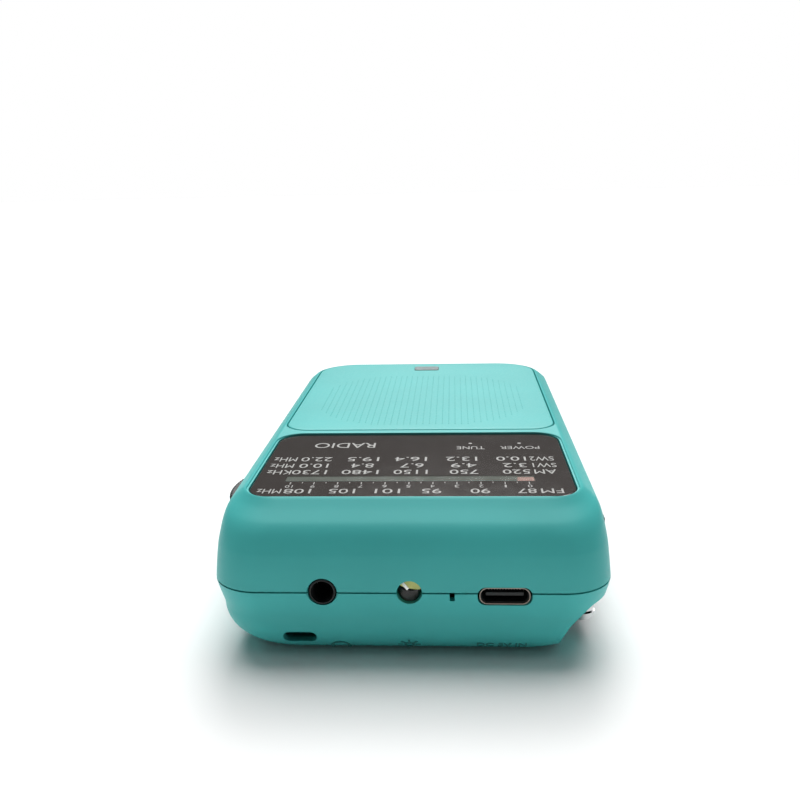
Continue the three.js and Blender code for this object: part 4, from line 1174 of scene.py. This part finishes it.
def build_antenna():
    """The swivel with its nut and eye, the rivet, the fork, four tubes and the tipped rod."""
    x, along, z, start, end = ANTENNA.values()
    nut = turned_across([(0, 22.3), (2.5, 22.3), (2.7, 22.5), (2.7, 24.4), (2.5, 24.6), (0, 24.6)],
                        along, z, 6)
    shaft = turned_across([(0, 24), (1.35, 24), (1.35, 27.9), (0, 27.9)], along, z)
    disc = turned_across([(0, 27.1), (2.35, 27.1), (2.5, 27.25), (2.5, 27.75), (2.35, 27.9),
                          (0, 27.9)], along, z, 40)
    neck = block(27.7, x, along - 1.5, along + 1.5, z - 0.9, z + 0.9)
    eye = pin(x, along, 2.3, z - 0.9, z + 0.9, 40, chamfer=0.12)
    stub = cut(join(nut, shaft, disc, neck, eye), pin(x, along, 1.05, z - 2, z + 2, 24))
    piece("antenna_stub_fine", stub, "antenna_stub", "chrome", "chrome", replaces=["antenna_stub"])
    rivet = turned([(0, z - 2.4), (0.75, z - 2.4), (1.0, z - 2.2), (0.8, z - 2), (0.8, z + 2),
                    (1.0, z + 2.2), (0.75, z + 2.4), (0, z + 2.4)], 24)
    rivet.transform(Matrix.Translation((x, along, 0)))
    piece("antenna_rivet_fine", rivet, "antenna_stub", "steel", "steel",
          replaces=["antenna_rivet"])
    barrel = turned_along([(0, start - 0.6), (2.4, start - 0.6), (2.4, start + 1), (2.25, start + 1.2),
                           (2.25, start + 1.6), (2.4, start + 1.8), (2.4, start + 5), (0, start + 5)],
                          x, z, 40)
    cheeks = []
    for low in (z - 2.4, z + 1.2):
        cheeks.append(pin(x, along, 2.4, low, low + 1.2, 40))
        cheeks.append(block(x - 2.1, x + 2.1, along, start, low, low + 1.2))
    fork = cut(join(barrel, *cheeks), pin(x, along, 2.9, z - 1.2, z + 1.2, 40),
               pin(x, along, 1.05, z - 4, z + 4, 24))
    fork = combine(fork, [turned_along([(0, along - 6), (2.65, along - 6), (2.65, start + 8),
                                        (0, start + 8)], x, z, 40)], "INTERSECT")
    piece("antenna_fork_fine", fork, "antenna_base", "chrome", "chrome", replaces=["antenna_fork"])
    bodies = ["antenna_base", "antenna_2", "antenna_3", "antenna_4"]
    for k, radius in enumerate(TUBE_RADII):
        low = start + 5.3 if k == 0 else start + 7 + k
        tube = sleeve_along(radius - TUBE_WALL, radius, low, end + k * TUBE_STEP, x, z)
        piece(f"antenna_tube_{k + 1}_fine", tube, bodies[k], "chrome", "chrome",
              replaces=[f"antenna_tube_{k + 1}"])
    cap = end + len(TUBE_RADII) * TUBE_STEP
    tip = turned_along([(0, start + 12), (ROD_RADIUS, start + 12), (ROD_RADIUS, cap), (2.1, cap),
                        (2.3, cap + 0.2), (2.3, cap + 2.9), (2.15, cap + 3.1), (2.15, cap + 3.3),
                        (2.25, cap + 3.5), (2.0, cap + 4.3), (1.4, cap + 4.7), (0.7, cap + 4.78),
                        (0, cap + 4.8)], x, z, 40)
    piece("antenna_tip_fine", tip, "antenna_5", "chrome", "chrome", replaces=["antenna_tip"])


# --- Pieces kept from the frame ----------------------------------------------------------------

KEPT = {
    "dial_plate": "backing", "dial_cord": "cord", "cord_post_left": "steel",
    "cord_post_right": "steel", "tuning_capacitor": "white", "volume_control": "steel",
    "band_switch": "steel", "light_switch": "steel", "charge_led": "haze",
    "circuit_board": "board", "radio_chip": "black", "filter_can_1": "steel",
    "filter_can_2": "steel", "smoothing_capacitor": "black", "ferrite_rod": "ferrite",
    "antenna_coil": "copper", "ferrite_clip_1": "white", "ferrite_clip_2": "white",
    "speaker_basket": "steel", "speaker_cone": "paper", "speaker_magnet": "ferrite",
    "battery": "battery", "battery_contacts": "black",
}


def finish_kept_nodes():
    """Gives the pieces that keep their own mesh a finish."""
    for name, finish in KEPT.items():
        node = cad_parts[name]
        node.data.materials.clear()
        node.data.materials.append(MATERIALS[finish])


# --- Stage -------------------------------------------------------------------------------------

def soft_sun(name, lean, power, spread):
    """An even, distant light of a wide angular size, leaning back from overhead."""
    data = bpy.data.lights.new(name, "SUN")
    data.energy = power
    data.angle = math.radians(spread)
    light = bpy.data.objects.new(name, data)
    bpy.context.scene.collection.objects.link(light)
    light.rotation_euler = (math.radians(-lean), 0, 0)
    return light


def lay_floor(sizes):
    """A plain sheet of pale paper just under the radio."""
    bm = bmesh.new()
    bmesh.ops.create_grid(bm, x_segments=24, y_segments=24, size=3.0)
    for vertex in bm.verts:
        vertex.co.z = CAD_BOX[0].z - 0.0001
    floor = as_object(bm, "floor")
    floor.data.materials.append(
        finish_material("floor_paper", tuple(sizes.floor_colour), (0.6, 0.75), grain=400,
                        spread=0.01, strength=0.05, cloud=6, specular=0.2))
    return floor


def hang_lights(sizes, floor):
    """Two wide lights over the radio, and a weak one that only the floor receives."""
    soft_sun("overhead_light", 28, sizes.key_power, 60)
    soft_sun("back_light", 52, sizes.back_power, 30)
    lift = soft_sun("floor_light", 0, sizes.floor_power, 60)
    lift.light_linking.receiver_collection = bpy.data.collections.new("floor_only")
    lift.light_linking.receiver_collection.objects.link(floor)


def light_room(sizes):
    """A white room for the eye that gives the radio only a weak light of its own."""
    world = bpy.data.worlds.new("studio")
    bpy.context.scene.world = world
    world.use_nodes = True
    nodes = world.node_tree.nodes
    links = world.node_tree.links
    seen = nodes["Background"]
    seen.inputs["Color"].default_value = (1, 1, 1, 1)
    seen.inputs["Strength"].default_value = 1.0
    glow = nodes.new("ShaderNodeBackground")
    glow.inputs["Color"].default_value = (0.95, 0.98, 1, 1)
    glow.inputs["Strength"].default_value = sizes.world_glow
    path = nodes.new("ShaderNodeLightPath")
    mix = nodes.new("ShaderNodeMixShader")
    links.new(path.outputs["Is Camera Ray"], mix.inputs["Fac"])
    links.new(glow.outputs["Background"], mix.inputs[1])
    links.new(seen.outputs["Background"], mix.inputs[2])
    links.new(mix.outputs["Shader"], nodes["World Output"].inputs["Surface"])


def place_camera(sizes):
    """The camera, and plain colours without a film look."""
    scene = bpy.context.scene
    scene.view_settings.view_transform = "Standard"
    scene.view_settings.look = "None"
    data = bpy.data.cameras.new("camera")
    data.sensor_width = 36
    data.lens = sizes.lens
    data.clip_start = 0.01
    camera = bpy.data.objects.new("camera", data)
    scene.collection.objects.link(camera)
    yaw, pitch, roll = (math.radians(angle) for angle in CAMERA_TURN)
    base = Matrix.Rotation(yaw, 4, "Z") @ Matrix.Rotation(math.pi / 2 - pitch, 4, "X")
    camera.matrix_world = (Matrix.Translation(CAMERA_PLACE) @ base
                           @ Matrix.Rotation(roll, 4, "Z"))
    scene.camera = camera


# --- Add-on ------------------------------------------------------------------------------------

class RadioLook(bpy.types.PropertyGroup):
    """Colours of the radio"""
    case_colour: FloatVectorProperty(
        name="Case colour", description="Colour of the moulded case", subtype="COLOR", size=3,
        min=0, max=1, default=(0.078, 0.53, 0.51))
    panel_colour: FloatVectorProperty(
        name="Dial panel colour", description="Colour of the glossy dial panel", subtype="COLOR",
        size=3, min=0, max=1, default=(0.04, 0.032, 0.028))
    print_colour: FloatVectorProperty(
        name="Dial print colour", description="Colour of the dial's numbers", subtype="COLOR",
        size=3, min=0, max=1, default=(0.3, 0.3, 0.285))
    pointer_colour: FloatVectorProperty(
        name="Pointer colour", description="Colour of the dial pointer", subtype="COLOR", size=3,
        min=0, max=1, default=(1.0, 0.3, 0.22))


class RadioSizes(bpy.types.PropertyGroup):
    """Sizes of the radio's small details"""
    hole_size: FloatProperty(
        name="Speaker hole", description="Width of one hole in the speaker panel", unit="LENGTH",
        default=0.3 * MM, min=0.2 * MM, max=1.2 * MM, precision=5)
    hole_pitch: FloatProperty(
        name="Hole spacing", description="Distance between holes in the speaker panel",
        unit="LENGTH", default=1.5 * MM, min=1.3 * MM, max=3 * MM, precision=5)
    lamp_dome: FloatProperty(
        name="Lamp dome", description="How far the flashlight's dome stands out", unit="LENGTH",
        default=1.5 * MM, min=0.2 * MM, max=2 * MM, precision=5)


class RadioStage(bpy.types.PropertyGroup):
    """Floor, lights and lens"""
    floor_colour: FloatVectorProperty(
        name="Floor colour", description="Colour of the paper floor", subtype="COLOR", size=3,
        min=0, max=1, default=(0.95, 0.95, 0.945))
    key_power: FloatProperty(
        name="Overhead light", description="Strength of the wide light above", default=2.75)
    back_power: FloatProperty(
        name="Back light", description="Strength of the light behind", default=1.3)
    floor_power: FloatProperty(
        name="Floor light", description="Strength of the light on the floor alone", default=0.3)
    world_glow: FloatProperty(
        name="Room light", description="Strength of the light from all round", default=0.12)
    lens: FloatProperty(
        name="Lens", description="Focal length of the camera", unit="CAMERA", default=40.725)


class RADIO_OT_materials(bpy.types.Operator):
    """Makes the radio's finishes"""
    bl_idname = "radio.materials"
    bl_label = "Finishes"

    def execute(self, context):
        make_materials(context.scene.radio_look)
        return {"FINISHED"}


class RADIO_OT_case(bpy.types.Operator):
    """Builds the front and back shells and the battery door"""
    bl_idname = "radio.case"
    bl_label = "Case"

    def execute(self, context):
        build_front_shell()
        build_back_shell()
        build_battery_door()
        return {"FINISHED"}


class RADIO_OT_signs(bpy.types.Operator):
    """Builds the small signs under the sockets, painted darker as shade in their grooves"""
    bl_idname = "radio.signs"
    bl_label = "Signs"

    def execute(self, context):
        piece("socket_signs", gather(*engraved_marks()), "case", "case_plastic", "case_sign_shade",
              weighted=False)
        return {"FINISHED"}


class RADIO_OT_face(bpy.types.Operator):
    """Builds the speaker panel and its badge"""
    bl_idname = "radio.face"
    bl_label = "Speaker panel"

    def execute(self, context):
        build_speaker_grille(context.scene.radio_sizes)
        build_badge()
        return {"FINISHED"}


class RADIO_OT_dial(bpy.types.Operator):
    """Builds the dial panel, its print and the pointer"""
    bl_idname = "radio.dial"
    bl_label = "Dial"

    def execute(self, context):
        build_dial_panel()
        build_dial_print()
        build_pointer()
        return {"FINISHED"}


class RADIO_OT_wheels(bpy.types.Operator):
    """Builds the tuning and volume thumbwheels"""
    bl_idname = "radio.wheels"
    bl_label = "Thumbwheels"

    def execute(self, context):
        build_tuning_wheel()
        build_volume_wheel()
        return {"FINISHED"}


class RADIO_OT_knobs(bpy.types.Operator):
    """Builds the two slide knobs"""
    bl_idname = "radio.knobs"
    bl_label = "Slide knobs"

    def execute(self, context):
        build_knob("band_knob", BAND)
        build_knob("light_knob", LIGHT)
        return {"FINISHED"}


class RADIO_OT_sockets(bpy.types.Operator):
    """Builds the headphone and charging sockets"""
    bl_idname = "radio.sockets"
    bl_label = "Sockets"

    def execute(self, context):
        build_headphone_jack()
        build_usb_socket()
        return {"FINISHED"}


class RADIO_OT_lamps(bpy.types.Operator):
    """Builds the flashlight and the dial's lamps"""
    bl_idname = "radio.lamps"
    bl_label = "Lamps"

    def execute(self, context):
        build_flashlight(context.scene.radio_sizes)
        build_dial_lamps()
        return {"FINISHED"}


class RADIO_OT_screws(bpy.types.Operator):
    """Builds the case screws"""
    bl_idname = "radio.screws"
    bl_label = "Screws"

    def execute(self, context):
        build_case_screws()
        return {"FINISHED"}


class RADIO_OT_antenna(bpy.types.Operator):
    """Builds the telescopic antenna"""
    bl_idname = "radio.antenna"
    bl_label = "Antenna"

    def execute(self, context):
        build_antenna()
        return {"FINISHED"}


class RADIO_OT_inside(bpy.types.Operator):
    """Finishes the pieces inside the case"""
    bl_idname = "radio.inside"
    bl_label = "Inside"

    def execute(self, context):
        finish_kept_nodes()
        return {"FINISHED"}


class RADIO_OT_stage(bpy.types.Operator):
    """Builds the floor, the lights and the camera"""
    bl_idname = "radio.stage"
    bl_label = "Stage"

    def execute(self, context):
        stage = context.scene.radio_stage
        hang_lights(stage, lay_floor(stage))
        light_room(stage)
        place_camera(stage)
        return {"FINISHED"}


OPERATORS = (
    RADIO_OT_materials, RADIO_OT_stage, RADIO_OT_case, RADIO_OT_signs, RADIO_OT_face,
    RADIO_OT_dial, RADIO_OT_wheels, RADIO_OT_knobs, RADIO_OT_sockets, RADIO_OT_lamps,
    RADIO_OT_screws, RADIO_OT_antenna, RADIO_OT_inside,
)


class RADIO_PT_panel(bpy.types.Panel):
    """Lists the radio's pieces, sizes and colours"""
    bl_idname = "RADIO_PT_panel"
    bl_label = "Pocket Radio"
    bl_space_type = "VIEW_3D"
    bl_region_type = "UI"
    bl_category = "Radio"

    def draw(self, context):
        scene = context.scene
        for group in (scene.radio_look, scene.radio_sizes, scene.radio_stage):
            box = self.layout.box()
            for name in group.__annotations__:
                box.prop(group, name)
        for operator in OPERATORS:
            self.layout.operator(operator.bl_idname)


CLASSES = (RadioLook, RadioSizes, RadioStage, *OPERATORS, RADIO_PT_panel)


def register():
    for cls in CLASSES:
        bpy.utils.register_class(cls)
    bpy.types.Scene.radio_look = PointerProperty(type=RadioLook)
    bpy.types.Scene.radio_sizes = PointerProperty(type=RadioSizes)
    bpy.types.Scene.radio_stage = PointerProperty(type=RadioStage)


def unregister():
    del bpy.types.Scene.radio_stage
    del bpy.types.Scene.radio_sizes
    del bpy.types.Scene.radio_look
    for cls in reversed(CLASSES):
        bpy.utils.unregister_class(cls)


def main():
    register()
    bpy.ops.radio.materials()
    bpy.ops.radio.stage()
    bpy.ops.radio.case()
    bpy.ops.radio.signs()
    bpy.ops.radio.face()
    bpy.ops.radio.dial()
    bpy.ops.radio.wheels()
    bpy.ops.radio.knobs()
    bpy.ops.radio.sockets()
    bpy.ops.radio.lamps()
    bpy.ops.radio.screws()
    bpy.ops.radio.antenna()
    bpy.ops.radio.inside()


if __name__ == "__main__":
    main()
